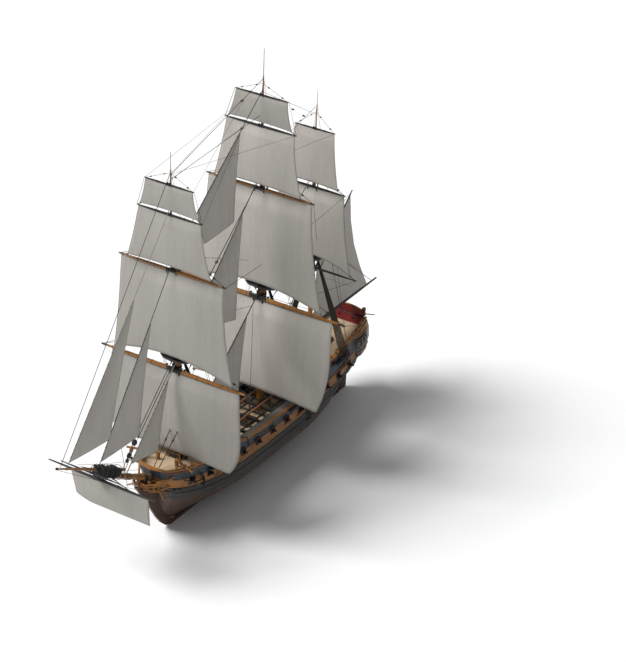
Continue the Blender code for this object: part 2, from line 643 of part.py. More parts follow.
# Stern: taffrail panel with its lanterns and boat bars
arch = [(-2.27, 6.0), (-2.27, 6.65), (-2.5, 6.65), (-2.5, 6.98), (-2.0, 7.25), (-1.0, 7.48), (0.0, 7.55),
        (1.0, 7.48), (2.0, 7.25), (2.5, 6.98), (2.5, 6.65), (2.27, 6.65), (2.27, 6.0)]
bm = bmesh.new()
face = bm.faces.new([bm.verts.new((-19.62, y, z)) for y, z in arch])
grown = bmesh.ops.extrude_face_region(bm, geom=[face])["geom"]
moved = [v for v in grown if isinstance(v, bmesh.types.BMVert)]
bmesh.ops.translate(bm, vec=(0.18, 0, 0), verts=moved)
bmesh.ops.triangulate(bm, faces=bm.faces)
panel = mesh_from("taffrail", bm)
foot = [(-19.9, 5.5), (-18.9, 5.5), (-18.9, along(RAIL, -18.9) + GAP), (-19.9, along(RAIL, -19.9) + GAP)]
panel = joined("taffrail", panel, [slab("foot", foot, 3.0)], "DIFFERENCE")
LANTERN_X, LANTERN_Y, LANTERN_Z = -19.53, 2.28, 6.95
LANTERN_FORM = ((0.0, 0.07), (0.18, 0.07), (0.19, 0.17), (0.62, 0.22), (0.64, 0.24), (0.74, 0.05))
taff = []
for side in (1, -1):
    places = [(LANTERN_X, side * LANTERN_Y, LANTERN_Z + up) for up, r in LANTERN_FORM]
    taff.append(tube("lantern", places, [r for up, r in LANTERN_FORM], 2))
    taff.append(tube("quarter_bar", [(-19.5, side * 2.30, 6.90), (-20.05, side * 3.55, 6.90)], [0.07, 0.05], 1))
panel = joined("taffrail", panel, taff)
add("taffrail", panel, "red")

# Quarter galleries and the band of the stern between them
GALLERY = ((2.45, 0.05, -16.8), (2.9, 0.22, -15.9), (3.4, 0.36, -15.2), (4.4, 0.44, -15.1), (5.5, 0.40, -15.1),
           (5.75, 0.28, -15.1), (6.2, 0.10, -15.2))


def gallery_mesh():
    bm = bmesh.new()
    rings = []
    for z, out, fore in GALLERY:
        stern = along(STERN, z)
        outer, inner = [], []
        for share, part in ((0.0, -0.2), (0.08, 0.35), (0.30, 1.0), (0.55, 1.0), (0.80, 1.0), (1.0, 0.9)):
            x = fore + (stern - fore) * share
            level = z + (along(RAIL, x) - along(RAIL, -19.0)) * (z - 2.45) / (6.2 - 2.45)
            side = half_breadth(x, level)
            outer.append((x, side + part * out if part > 0 else side - 0.12, level))
            inner.append((x + (0.2 if share == 1.0 else 0.0), side - 0.20, level))
        outer += [(stern - 0.16, 0.9 * side, level), (stern - 0.22, 0.0, level)]
        inner += [(stern + 0.2, 0.8 * side, level), (stern + 0.2, 0.0, level)]
        rings.append((outer, inner))
    for side in (1, -1):
        grid = [[[bm.verts.new((x, side * y, z)) for x, y, z in path] for path in ring] for ring in rings]
        last = len(grid[0][0]) - 1
        for lower, upper in zip(grid, grid[1:]):
            for path in (0, 1):
                for i in range(last):
                    quad = [lower[path][i], lower[path][i + 1], upper[path][i + 1], upper[path][i]]
                    bm.faces.new([quad[0], quad[1], quad[2]])
                    bm.faces.new([quad[0], quad[2], quad[3]])
            bm.faces.new([lower[0][0], lower[1][0], upper[1][0], upper[0][0]])
        for ring in (grid[0], grid[-1]):
            for i in range(last):
                bm.faces.new([ring[0][i], ring[0][i + 1], ring[1][i + 1], ring[1][i]])
    bmesh.ops.remove_doubles(bm, verts=bm.verts, dist=1e-5)
    bmesh.ops.triangulate(bm, faces=bm.faces)
    return mesh_from("galleries", bm)


galleries = joined("stern_galleries", gallery_mesh(), [fat_hull()] + ovals, "DIFFERENCE")
add("stern_galleries", galleries, "ochre")

# Rudder on the sternpost
rudder_outline = [(-18.10, KEEL_Z + 0.12), (-19.45, KEEL_Z + 0.12), (-19.50, -2.5), (-19.25, -0.6), (-19.0, 0.4),
                  (-18.95, 1.95), (-18.40, 1.95), (-18.33, 1.6)]
hangings = []
for z in HANGING_Z:
    hangings.append(box("strap", (rudder_axis_x(z) - 0.35, -0.06, z + 0.075), (rudder_axis_x(z) + 0.045, 0.06, z + 0.20)))
    hangings.append(rudder_pin(z, -0.09, 0.12, PIN_R))
rudder = slab("rudder", rudder_outline, 0.15)
notches = [box("notch", (rudder_axis_x(z) - 0.14, -0.3, z - 0.12), (rudder_axis_x(z) + 0.3, 0.3, z + 0.075)) for z in HANGING_Z]
rudder = joined("rudder", joined("rudder", rudder, notches, "DIFFERENCE"), hangings)
add("rudder", rudder, "keel", pivot=RUDDER_AXIS[0])

# Steering wheel and capstan
WHEEL_Z = quarterdeck_at(WHEEL_X) + 1.0
WHEEL_AT = WHEEL_X - 0.12


def ring(name, centre, radius, thick, sides=16):
    """A round ring about an axis along X."""
    bm = bmesh.new()
    loops = []
    for i in range(sides):
        a = 2 * math.pi * i / sides
        loop = []
        for k in range(6):
            b = 2 * math.pi * k / 6
            r = radius + thick * math.cos(b)
            d = thick * math.sin(b)
            loop.append(bm.verts.new((centre[0] + d, centre[1] + r * math.cos(a), centre[2] + r * math.sin(a))))
        loops.append(loop)
    for i in range(sides):
        for k in range(6):
            bm.faces.new([loops[i][k], loops[i][(k + 1) % 6], loops[(i + 1) % sides][(k + 1) % 6], loops[(i + 1) % sides][k]])
    return mesh_from(name, bm)


spokes = [tube("hub", [(WHEEL_X - 0.30 + GAP, 0, WHEEL_Z), (WHEEL_AT + 0.1, 0, WHEEL_Z)], [0.12, 0.12], 2)]
spokes.append(ring("rim", (WHEEL_AT, 0, WHEEL_Z), 0.52, 0.05))
for i in range(4):
    thick = 0.030 + 0.004 * i
    turn = Matrix.Rotation(math.pi * i / 4 + 0.1, 3, "X")
    spokes.append(box("spoke", (WHEEL_AT - thick, -0.74, WHEEL_Z - 0.03), (WHEEL_AT + thick, 0.74, WHEEL_Z + 0.03), turn))
add("steering_wheel", joined("steering_wheel", spokes[0], spokes[1:]), "ochre", pivot=(WHEEL_AT, 0, WHEEL_Z))

barrel = tube("capstan", [(CAPSTAN_X, 0, CAPSTAN_Z + GAP), (CAPSTAN_X, 0, CAPSTAN_Z + 0.12),
                          (CAPSTAN_X, 0, CAPSTAN_Z + 0.14), (CAPSTAN_X, 0, CAPSTAN_Z + 0.62),
                          (CAPSTAN_X, 0, CAPSTAN_Z + 0.64), (CAPSTAN_X, 0, CAPSTAN_Z + 0.9)],
              [0.55, 0.55, 0.34, 0.26, 0.48, 0.48], 3)
add("capstan", barrel, "ochre", pivot=(CAPSTAN_X, 0, CAPSTAN_Z))


# Masts
def lower_mast(name, foot, lean, base, top, head, radius, ahead=TOPMAST_AHEAD):
    """Lower mast with its platform and, at its head, the cap behind the topmast."""
    pole = tube(name, [(mast_x(foot, lean, base), 0, base), (mast_x(foot, lean, top), 0, top),
                       (mast_x(foot, lean, head), 0, head)], [radius, radius * 0.86, radius * 0.62], 4)
    x = mast_x(foot, lean, top)
    wide = 1.9 * radius / 0.42
    plan = [(-1.35, -1.0), (-1.35, 1.0), (0.9, 1.0), (1.55, 0.62), (1.75, 0.0), (1.55, -0.62), (0.9, -1.0)]
    bm = bmesh.new()
    face = bm.faces.new([bm.verts.new((x + 0.8 * a, wide * b, top)) for a, b in plan])
    grown = bmesh.ops.extrude_face_region(bm, geom=[face])["geom"]
    moved = [v for v in grown if isinstance(v, bmesh.types.BMVert)]
    bmesh.ops.translate(bm, vec=(0, 0, -0.16), verts=moved)
    platform = mesh_from("platform", bm)
    cap_x = mast_x(foot, lean, head)
    cap = box("cap", (cap_x - radius, -radius, head - 0.30), (cap_x + ahead + 0.45, radius, head + 0.05))
    hole_low = mast_x(foot, lean, top) + ahead
    hole = tube("hole", [(hole_low - lean * 1.0, 0, top - 1.0), (hole_low + lean * (head - top + 1.0), 0, head + 1.0)],
                [TOPMAST_R[name] + GAP] * 2, 4)
    body = joined(name, pole, [platform, cap])
    return joined(name, body, [hole], "DIFFERENCE")


TOPMAST_R = {"fore_mast": 0.235, "main_mast": 0.255, "mizzen_mast": 0.18}


def upper_mast(name, foot, lean, start, hounds, cap, ochre_top, truck, radius, ahead=(TOPMAST_AHEAD, TOPGALLANT_AHEAD)):
    """Topmast and topgallant mast in one, doubled between the hounds and the cap."""
    low, high = ahead
    topmast = tube(name, [(mast_x(foot, lean, start) + low, 0, start), (mast_x(foot, lean, hounds) + low, 0, hounds),
                          (mast_x(foot, lean, cap) + low, 0, cap)], [radius, radius, radius * 0.6], 4)
    topgallant = tube(name + "_b", [(mast_x(foot, lean, hounds - 0.25) + high, 0, hounds - 0.25),
                                    (mast_x(foot, lean, cap + 1.0) + high, 0, cap + 1.0),
                                    (mast_x(foot, lean, ochre_top) + high, 0, ochre_top),
                                    (mast_x(foot, lean, ochre_top + 0.05) + high, 0, ochre_top + 0.05),
                                    (mast_x(foot, lean, truck) + high, 0, truck)],
                      [radius * 0.62, radius * 0.60, radius * 0.34, radius * 0.17, radius * 0.12], 4)
    x = mast_x(foot, lean, hounds)
    trees = box("crosstrees", (x + low - 0.55, -0.6, hounds - 0.12), (x + high + 0.10, 0.6, hounds))
    x = mast_x(foot, lean, cap)
    cap_piece = box("cap_piece", (x + low - 0.25, -0.22, cap - 0.2), (x + high + 0.25, 0.22, cap + 0.02))
    return joined(name, topmast, [topgallant, trees, cap_piece])


MAST_DATA = {
    "fore": (FORE_X, FORE_LEAN, forecastle_at(FORE_X), 17.0, 19.4, 0.42),
    "main": (MAIN_X, MAIN_LEAN, gun_deck_at(MAIN_X), 18.9, 21.6, 0.45),
    "mizzen": (MIZZEN_X, MIZZEN_LEAN, quarterdeck_at(MIZZEN_X), 18.1, 20.1, 0.31),
}
for name, (foot, lean, floor, top, head, radius) in MAST_DATA.items():
    base = floor + STEP_RISE + GAP + radius * abs(lean)
    add(f"{name}_mast", lower_mast(f"{name}_mast", foot, lean, base, top, head, radius), "ochre")
UPPER_DATA = {
    "fore": (FORE_X, FORE_LEAN, 17.0 + GAP, 29.6, 31.2, 39.85, 41.94, 0.235),
    "main": (MAIN_X, MAIN_LEAN, 18.9 + GAP, 32.6, 34.4, 44.6, 47.84, 0.255),
    "mizzen": (MIZZEN_X, MIZZEN_LEAN, 18.1 + GAP, 28.3, 29.6, 37.5, 39.2, 0.18),
}
for name, data in UPPER_DATA.items():
    reach = (TOPMAST_AHEAD, TOPGALLANT_AHEAD) if name != "mizzen" else (TOPMAST_AHEAD, TOPMAST_AHEAD + 0.36)
    add(f"{name}_topmast", upper_mast(f"{name}_topmast", *data, ahead=reach), "ochre")


# Yards, each with the parrel that holds it to its mast
LEANS = {"fore": (FORE_X, FORE_LEAN), "main": (MAIN_X, MAIN_LEAN), "mizzen": (MIZZEN_X, MIZZEN_LEAN)}


def yard_x(name):
    mast, z, half, ahead, radius = YARDS[name]
    foot, lean = LEANS[mast]
    return mast_x(foot, lean, z) + ahead


def yard_bar(name, more):
    mast, z, half, ahead, radius = YARDS[name]
    x = yard_x(name)
    shares = (-1.0, -0.55, -0.12, 0.12, 0.55, 1.0)
    sizes = (0.42, 0.86, 1.0, 1.0, 0.86, 0.42)
    return tube(name, [(x, s * (half + more), z) for s in shares], [radius * size + more for size in sizes], 2)


def mast_face(mast, kind, z, way=1):
    """The foremost x of a mast at a height, or with way -1 its aftmost."""
    foot, lean, floor, top, head, radius = MAST_DATA[mast]
    foot, lean, start, hounds, cap, ochre_top, truck, upper_r = UPPER_DATA[mast]
    ahead = {"low": 0.0, "mid": TOPMAST_AHEAD, "high": TOPGALLANT_AHEAD if mast != "mizzen" else TOPMAST_AHEAD + 0.36}[kind]
    r = {"low": np.interp(z, [floor, top, head], [radius, radius * 0.86, radius * 0.62]),
         "mid": np.interp(z, [start, hounds, cap], [upper_r, upper_r, upper_r * 0.6]),
         "high": np.interp(z, [hounds - 0.25, cap + 1.0, ochre_top], [upper_r * 0.62, upper_r * 0.60, upper_r * 0.34])}[kind]
    return mast_x(foot, lean, z) + ahead + way * float(r)


def yard_mesh(name):
    mast, z, half, ahead, radius = YARDS[name]
    x = yard_x(name)
    bar = yard_bar(name, 0.0)
    kind = "low" if "course" in name or "jack" in name else "mid" if "topsail" in name else "high"
    foot, lean = LEANS[mast]
    face = max(mast_face(mast, kind, z - 0.10), mast_face(mast, kind, z + 0.10)) + GAP
    pad = box("parrel", (face, -0.16, z - 0.10), (x, 0.16, z + 0.10))
    return joined(name, bar, [pad])


def with_leeches(name, upper, lower):
    """Two small yards of one mast in one piece, joined by the ropes that run down outside the sail between them."""
    ropes = []
    for side in (1, -1):
        top = (yard_x(upper), side * (YARDS[upper][2] - 0.05), YARDS[upper][1])
        foot = (yard_x(lower), side * (YARDS[lower][2] - 0.07), YARDS[lower][1])
        ropes.append(tube("leech", [foot, top], [0.026, 0.026], 0))
    return joined(name, yard_mesh(lower), [yard_mesh(upper)] + ropes)


def on_mast_axis(mast, z):
    foot, lean = LEANS[mast]
    return (mast_x(foot, lean, z), 0, z)


OCHRE_YARDS = ("fore_course_yard", "fore_topsail_yard", "main_course_yard", "main_topsail_yard")
for name in YARDS:
    if "royal" in name or name in ("fore_topgallant_yard", "main_topgallant_yard"):
        continue
    colour = "ochre" if name in OCHRE_YARDS else "black"
    add(name, yard_mesh(name), colour, pivot=on_mast_axis(YARDS[name][0], YARDS[name][1]))
for mast in ("fore", "main"):
    mesh = with_leeches(f"{mast}_topgallant_yards", f"{mast}_royal_yard", f"{mast}_topgallant_yard")
    add(f"{mast}_topgallant_yards", mesh, "black", pivot=on_mast_axis(mast, YARDS[f"{mast}_topgallant_yard"][1]))


# Sails
def thickened(name, mesh, thick=SAIL_THICK):
    """A sheet of faces given its thickness on both sides."""
    holder = bpy.data.objects.new(name, mesh)
    bpy.context.scene.collection.objects.link(holder)
    shell = holder.modifiers.new("thick", "SOLIDIFY")
    shell.thickness = thick * SCALE
    shell.offset = 0.0
    bpy.context.view_layer.update()
    done = bpy.data.meshes.new_from_object(
        holder.evaluated_get(bpy.context.evaluated_depsgraph_get())
    )
    bpy.data.objects.remove(holder)
    return done


def sheet(name, place, across=8, down=7):
    """A sheet over u and v from 0 to 1, where place gives each point in ship metres."""
    bm = bmesh.new()
    bmesh.ops.create_grid(bm, x_segments=across, y_segments=down, size=0.5)
    for vert in bm.verts:
        vert.co = place(vert.co.x + 0.5, vert.co.y + 0.5)
    return thickened(name, mesh_from(name, bm))


def square_sail(name):
    yard, head, foot, clew_z, rise, belly = SQUARE_SAILS[name]
    mast, z, half, ahead, radius = YARDS[yard]
    top = z
    x_head = yard_x(yard)
    foot_x, lean = LEANS[mast]
    lower = {"fore_topsail": "fore_course_yard", "fore_topgallant_sail": "fore_topsail_yard",
             "fore_royal": "fore_topgallant_yard", "main_topsail": "main_course_yard",
             "main_topgallant_sail": "main_topsail_yard", "main_royal": "main_topgallant_yard",
             "mizzen_topsail": "crossjack_yard", "mizzen_topgallant_sail": "mizzen_topsail_yard"}.get(name)
    reach = ahead + 0.35
    if lower:
        reach = max(YARDS[lower][3] + 0.05, TOPMAST_AHEAD + UPPER_DATA[mast][7] + 0.12)
    if "topgallant" in name:
        reach += 0.40
    x_foot = mast_x(foot_x, lean, clew_z) + reach

    def place(u, v):
        s = 2 * u - 1
        down = 1 - v
        wide = head + (foot - head) * down - 0.35 * 4 * down * (1 - down) * (half / 10)
        hem = clew_z + rise * (1 - s * s)
        level = top + (hem - top) * down
        swell = belly * math.sin(math.pi * (0.12 + 0.70 * down)) * (1 - 0.75 * s * s) * min(1.0, 6 * down)
        return (x_head + (x_foot - x_head) * down + swell, s * wide, level)

    return joined(name, sheet(name, place), [yard_bar(yard, GAP)], "DIFFERENCE")


for name, (yard, *sizes) in SQUARE_SAILS.items():
    add(name, square_sail(name), "sail", True, on_mast_axis(YARDS[yard][0], YARDS[yard][1]))


# Bowsprit, jib-boom and the yards under them
def spar(name, a, b, radii, sides=3):
    a, b = Vector(a), Vector(b)
    points = [a.lerp(b, i / (len(radii) - 1)) for i in range(len(radii))]
    return tube(name, points, radii, sides)


BOWSPRIT_RADII = [BOWSPRIT_R, BOWSPRIT_R, 0.31, 0.27, 0.24]
JIB_R = 0.17
bowsprit = spar("bowsprit", BOWSPRIT_IN, BOWSPRIT_OUT, BOWSPRIT_RADII)
end = Vector(BOWSPRIT_OUT)


def jib_boom_z(x):
    share = (x - JIB_BOOM_IN[0]) / (JIB_BOOM_OUT[0] - JIB_BOOM_IN[0])
    return JIB_BOOM_IN[2] + share * (JIB_BOOM_OUT[2] - JIB_BOOM_IN[2])


cap_top = jib_boom_z(end.x - 0.3) + 0.5
bow_cap = box("bow_cap", (end.x - 0.42, -0.26, end.z - 0.45), (end.x - 0.10, 0.26, cap_top))
saddle = box("saddle", (26.9, -0.20, 6.75), (27.15, 0.20, jib_boom_z(27.0) - 0.05))
jib_way = (Vector(JIB_BOOM_OUT) - Vector(JIB_BOOM_IN)).normalized()
jib_hole_long = spar("jib_hole", Vector(JIB_BOOM_IN) - jib_way, Vector(JIB_BOOM_OUT) + jib_way, [JIB_R + GAP] * 2, 3)
bowsprit = joined("bowsprit", joined("bowsprit", bowsprit, [bow_cap, saddle]), [jib_hole_long], "DIFFERENCE")
add("bowsprit", bowsprit, "ochre")
jib_boom = tube("jib_boom", [JIB_BOOM_IN, Vector(JIB_BOOM_IN).lerp(Vector(JIB_BOOM_OUT), 0.52), JIB_BOOM_OUT],
                [JIB_R, JIB_R, 0.09], 3)
add("jib_boom", jib_boom, "ochre")

SPRITSAIL_X, SPRITSAIL_HALF = 30.28, 7.15
SPRITSAIL_Z = 8.13
SPRIT_TOP_X, SPRIT_TOP_Z, SPRIT_TOP_HALF = 32.02, 10.02, 4.04


def sprit_yard(name, x, z, half, radius):
    shares = (-1.0, -0.5, 0.0, 0.5, 1.0)
    return tube(name, [(x, s * half, z) for s in shares],
                [radius * 0.45, radius * 0.88, radius, radius * 0.88, radius * 0.45], 2)


SLING_R = 0.09


def sling(x, z, spar_mesh):
    """A round post from a yard up to the underside of the spar that it turns under."""
    bm = bmesh.new()
    bm.from_mesh(spar_mesh)
    tree = BVHTree.FromBMesh(bm)
    bm.free()
    top = []
    for i in range(12):
        turn = 2 * math.pi * i / 12
        start = SCALE * Vector((x + SLING_R * math.cos(turn), SLING_R * math.sin(turn), z))
        top.append(tree.ray_cast(start, Vector((0, 0, 1)))[0].z / SCALE)
    return tube("sling", [(x, 0, z), (x, 0, min(top) - GAP)], [SLING_R] * 2, 4)


yard = joined("spritsail_yard", sprit_yard("spritsail_yard", SPRITSAIL_X, SPRITSAIL_Z, SPRITSAIL_HALF, 0.16),
              [sling(SPRITSAIL_X, SPRITSAIL_Z, bowsprit)])
SPRIT_PIVOT = (SPRITSAIL_X, 0, SPRITSAIL_Z)
add("spritsail_yard", yard, "black", pivot=SPRIT_PIVOT)
yard = joined("sprit_topsail_yard", sprit_yard("sprit_topsail_yard", SPRIT_TOP_X, SPRIT_TOP_Z, SPRIT_TOP_HALF, 0.11),
              [sling(SPRIT_TOP_X, SPRIT_TOP_Z, jib_boom)])
add("sprit_topsail_yard", yard, "black", pivot=(SPRIT_TOP_X, 0, SPRIT_TOP_Z))


def spritsail_place(u, v):
    down = 1 - v
    y = -3.8 + 10.1 * u - (0.3 - 0.5 * u) * down
    z = SPRITSAIL_Z + (4.6 - SPRITSAIL_Z) * down
    return (SPRITSAIL_X + 0.35 * math.sin(math.pi * down) * (1 - (2 * u - 1) ** 2) - 0.2 * down, y, z)


sprit_seat = sprit_yard("fat", SPRITSAIL_X, SPRITSAIL_Z, SPRITSAIL_HALF, 0.16 + 2 * GAP)
spritsail = joined("spritsail", sheet("spritsail", spritsail_place, 8, 5), [sprit_seat], "DIFFERENCE")
add("spritsail", spritsail, "sail", True, SPRIT_PIVOT)

# Driver: boom, gaff and sail abaft the mizzen mast
BOOM_Z = 8.22
BOOM_OUT = (-26.04, 0.0, 8.45)
GAFF_OUT = (-19.35, 0.0, 23.30)
GAFF_IN_Z = 15.95


def mizzen_x(z):
    return mast_x(MIZZEN_X, MIZZEN_LEAN, z)


BOOM_RADII = [0.15, 0.17, 0.16, 0.10]
GAFF_RADII = [0.12, 0.13, 0.11, 0.07]


def driver_spar(name, z, out, radii):
    """Boom or gaff, with the jaw at its inner end against the mast."""
    half = 0.22
    face = min(mast_face("mizzen", "low", z - half, -1), mast_face("mizzen", "low", z + half, -1)) - GAP
    inner = (face - 0.25, 0.0, z)
    bar = spar(name, inner, out, radii, 2)
    jaw = box("jaw", (face - 0.55, -0.24, z - half), (face, 0.24, z + half))
    return joined(name, bar, [jaw]), inner


boom, boom_in = driver_spar("driver_boom", BOOM_Z, BOOM_OUT, BOOM_RADII)
gaff, gaff_in = driver_spar("driver_gaff", GAFF_IN_Z, GAFF_OUT, GAFF_RADII)
add("driver_boom", boom, "black", pivot=on_mast_axis("mizzen", BOOM_Z))
add("driver_gaff", gaff, "black", pivot=on_mast_axis("mizzen", GAFF_IN_Z))

LEECH = [(0.0, -18.9), (0.25, -19.25), (0.5, -20.2), (0.75, -21.8), (1.0, -23.8)]


def driver_line(a, b, x):
    return a[2] + (b[2] - a[2]) * (x - a[0]) / (b[0] - a[0])


def driver_place(u, v):
    down = 1 - v
    luff_x = mizzen_x(16.3 + (8.2 - 16.3) * down) - 0.98
    luff_z = driver_line(gaff_in, GAFF_OUT, mizzen_x(16.3) - 0.98)
    luff_z += (driver_line(boom_in, BOOM_OUT, luff_x) - luff_z) * down
    leech_x = along(LEECH, down)
    leech_top = driver_line(gaff_in, GAFF_OUT, -18.9)
    leech_z = leech_top + (driver_line(boom_in, BOOM_OUT, -23.8) - leech_top) * down
    x = luff_x + (leech_x - luff_x) * u
    z = luff_z + (leech_z - luff_z) * u
    return (x, -0.55 * math.sin(math.pi * u) * math.sin(math.pi * down), z)


driver_seats = [spar("fat", boom_in, BOOM_OUT, [r + GAP for r in BOOM_RADII], 2),
                spar("fat", gaff_in, GAFF_OUT, [r + GAP for r in GAFF_RADII], 2)]
driver_sail = joined("driver_sail", sheet("driver_sail", driver_place, 7, 7), driver_seats, "DIFFERENCE")
add("driver_sail", driver_sail, "sail", True, on_mast_axis("mizzen", BOOM_Z))


# Staysails and the stays they hang on, which reach from mast to mast or to the bowsprit
FORE_STAY = ((16.45, 16.62), (26.05, 6.36))
MAIN_STAY = ((-0.10, 18.56), (15.95, 4.82))
MIZZEN_STAY = ((-10.80, 17.86), (-0.40, 7.16))
JIB_STAY = ((16.95, 29.42), (30.85, 9.66))
FLYING_STAY = ((17.40, 35.75), (36.02, 12.55))
MAIN_TOPMAST_STAY = ((0.62, 32.99), (15.97, 17.38))
MAIN_TOPGALLANT_STAY = ((0.44, 43.12), (16.85, 29.66))


def on_line(line, x):
    (ax, az), (bx, bz) = line
    return (x, az + (bz - az) * (x - ax) / (bx - ax))


def fat_lower(mast):
    """The lower mast and its platform's height range, swollen by the gap, to seat a stay's end on."""
    foot, lean, floor, top, head, radius = MAST_DATA[mast]
    points = [(mast_x(foot, lean, z), 0, z) for z in (floor, top, head)]
    return tube("fat", points, [radius + GAP, radius * 0.86 + GAP, radius * 0.62 + GAP], 4)


def fat_topmast(mast):
    foot, lean, start, hounds, cap, ochre_top, truck, radius = UPPER_DATA[mast]
    points = [(mast_x(foot, lean, z) + TOPMAST_AHEAD, 0, z) for z in (start, hounds, cap)]
    return tube("fat", points, [radius + GAP, radius + GAP, radius * 0.6 + GAP], 4)


def fat_topgallant(mast):
    foot, lean, start, hounds, cap, ochre_top, truck, radius = UPPER_DATA[mast]
    points = [(mast_x(foot, lean, z) + TOPGALLANT_AHEAD, 0, z) for z in (hounds - 0.25, cap + 1.0, ochre_top)]
    return tube("fat", points, [radius * 0.62 + GAP, radius * 0.60 + GAP, radius * 0.34 + GAP], 4)


def fat_jib_boom():
    a, b = Vector(JIB_BOOM_IN), Vector(JIB_BOOM_OUT)
    return tube("fat", [a, a.lerp(b, 0.52), b], [JIB_R + GAP, JIB_R + GAP, 0.09 + GAP], 3)


def fat_bowsprit():
    return spar("fat", BOWSPRIT_IN, BOWSPRIT_OUT, [r + GAP for r in BOWSPRIT_RADII])


def rope(name, line, radius, seats, sides=1):
    (ax, az), (bx, bz) = line
    bar = tube(name, [(ax, 0, az), (bx, 0, bz)], [radius, radius], sides)
    return joined(name, bar, seats, "DIFFERENCE")


def staysail(name, line, head_x, tack_x, clew, tack_low=None, belly=0.3, across=5, down=8):
    """A sail whose luff runs down a stay between two places, with a fourth corner where tack_low is given."""
    head = Vector((head_x, 0, on_line(line, head_x)[1]))
    low = Vector((tack_x, 0, on_line(line, tack_x)[1]))
    clew = Vector((clew[0], 0, clew[1]))
    tack = Vector((tack_low[0], 0, tack_low[1])) if tack_low else low

    def place(u, v):
        t = 1 - v
        luff = head.lerp(low, t)
        if tack_low:
            luff = head.lerp(low, t / 0.62) if t < 0.62 else low.lerp(tack, (t - 0.62) / 0.38)
        top = head + Vector((-0.22, 0, -0.02))
        leech = top.lerp(clew, t) + Vector((0.18, 0, 0)) * math.sin(math.pi * t)
        point = luff.lerp(leech, u)
        point.y = belly * math.sin(math.pi * u) * math.sin(math.pi * (0.08 + 0.84 * t)) + 0.16 * u * t
        return point

    return sheet(name, place, across, down)


def hanked(name, sail, line, seats):
    """A sail in one piece with the thin stay along its luff, cut to its seats at both ends."""
    (ax, az), (bx, bz) = line
    bar = tube(name, [(ax, 0, az), (bx, 0, bz)], [0.036, 0.036], 0)
    return joined(name, joined(name, sail, [bar]), seats, "DIFFERENCE")


def beside(name, sail, line, radius):
    """A sail cut back from the heavy stay that its luff lies along."""
    (ax, az), (bx, bz) = line
    bar = tube(name, [(ax, 0, az), (bx, 0, bz)], [radius + GAP, radius + GAP], 1)
    return joined(name, sail, [bar], "DIFFERENCE")


STAY_R = 0.07
add("fore_stay", rope("fore_stay", FORE_STAY, STAY_R, [fat_lower("fore"), fat_bowsprit()]), "rope")
add("main_stay", rope("main_stay", MAIN_STAY, STAY_R, [fat_lower("main"), fat_lower("fore")]), "rope")
add("mizzen_stay", rope("mizzen_stay", MIZZEN_STAY, STAY_R, [fat_lower("mizzen"), fat_lower("main")]), "rope")

SAILS = {
    "flying_jib": (FLYING_STAY, 24.24, 35.55, (28.80, 12.62), None, [fat_topgallant("fore"), fat_jib_boom()]),
    "jib": (JIB_STAY, 21.38, 30.30, (23.70, 10.46), None, [fat_topmast("fore"), fat_jib_boom()]),
    "main_topgallant_staysail": (MAIN_TOPGALLANT_STAY, 4.97, 12.76, (6.0, 29.24), (11.45, 28.70),
                                 [fat_topgallant("main"), fat_topmast("fore")]),
    "main_topmast_staysail": (MAIN_TOPMAST_STAY, 4.27, 14.30, (5.42, 16.64), None,
                              [fat_topgallant("main"), fat_lower("fore")]),
}
for name, (line, head_x, tack_x, clew, tack_low, seats) in SAILS.items():
    add(name, hanked(name, staysail(name, line, head_x, tack_x, clew, tack_low), line, seats), "sail", True)
add("fore_topmast_staysail",
    beside("fore_topmast_staysail", staysail("s", FORE_STAY, 18.35, 25.05, (20.30, 6.69), None, 0.2), FORE_STAY, STAY_R),
    "sail", True)
add("main_staysail", beside("main_staysail", staysail("s", MAIN_STAY, 3.2, 12.6, (4.68, 6.74), None, 0.2), MAIN_STAY, STAY_R),
    "sail", True)
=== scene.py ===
"""The looks of the tall ship: a half-size model of a three-masted ship under full sail, on a pale floor.

Sizes and places below are in metres of the full-size ship, as in part.py, and SCALE turns them into the frame's
metres. +X is the bow, +Y is port, +Z is up, and the origin is on the centreline at the waterline.
"""

import math
from collections import namedtuple
from itertools import product

import bpy
import numpy as np
from mathutils import Matrix, Vector
from mathutils.bvhtree import BVHTree


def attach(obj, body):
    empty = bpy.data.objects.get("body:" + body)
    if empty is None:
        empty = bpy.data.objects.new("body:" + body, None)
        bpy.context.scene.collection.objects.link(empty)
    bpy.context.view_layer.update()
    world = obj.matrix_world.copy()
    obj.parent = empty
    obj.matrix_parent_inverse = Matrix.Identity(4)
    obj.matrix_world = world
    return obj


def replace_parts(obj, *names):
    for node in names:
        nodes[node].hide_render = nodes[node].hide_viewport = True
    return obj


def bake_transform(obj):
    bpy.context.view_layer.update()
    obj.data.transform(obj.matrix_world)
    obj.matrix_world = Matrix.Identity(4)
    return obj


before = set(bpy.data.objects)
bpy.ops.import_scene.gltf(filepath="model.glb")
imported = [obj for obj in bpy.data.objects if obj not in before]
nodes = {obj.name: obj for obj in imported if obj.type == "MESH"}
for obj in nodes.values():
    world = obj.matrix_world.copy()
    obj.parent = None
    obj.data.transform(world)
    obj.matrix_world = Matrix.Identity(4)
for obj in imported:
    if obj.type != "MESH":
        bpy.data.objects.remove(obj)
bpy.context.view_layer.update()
SCALE = 0.5
KEEL_Z = -4.35  # the foot of the keel, where the floor is


def vec(x=0.0, y=0.0, z=0.0):
    return Vector((x, y, z))


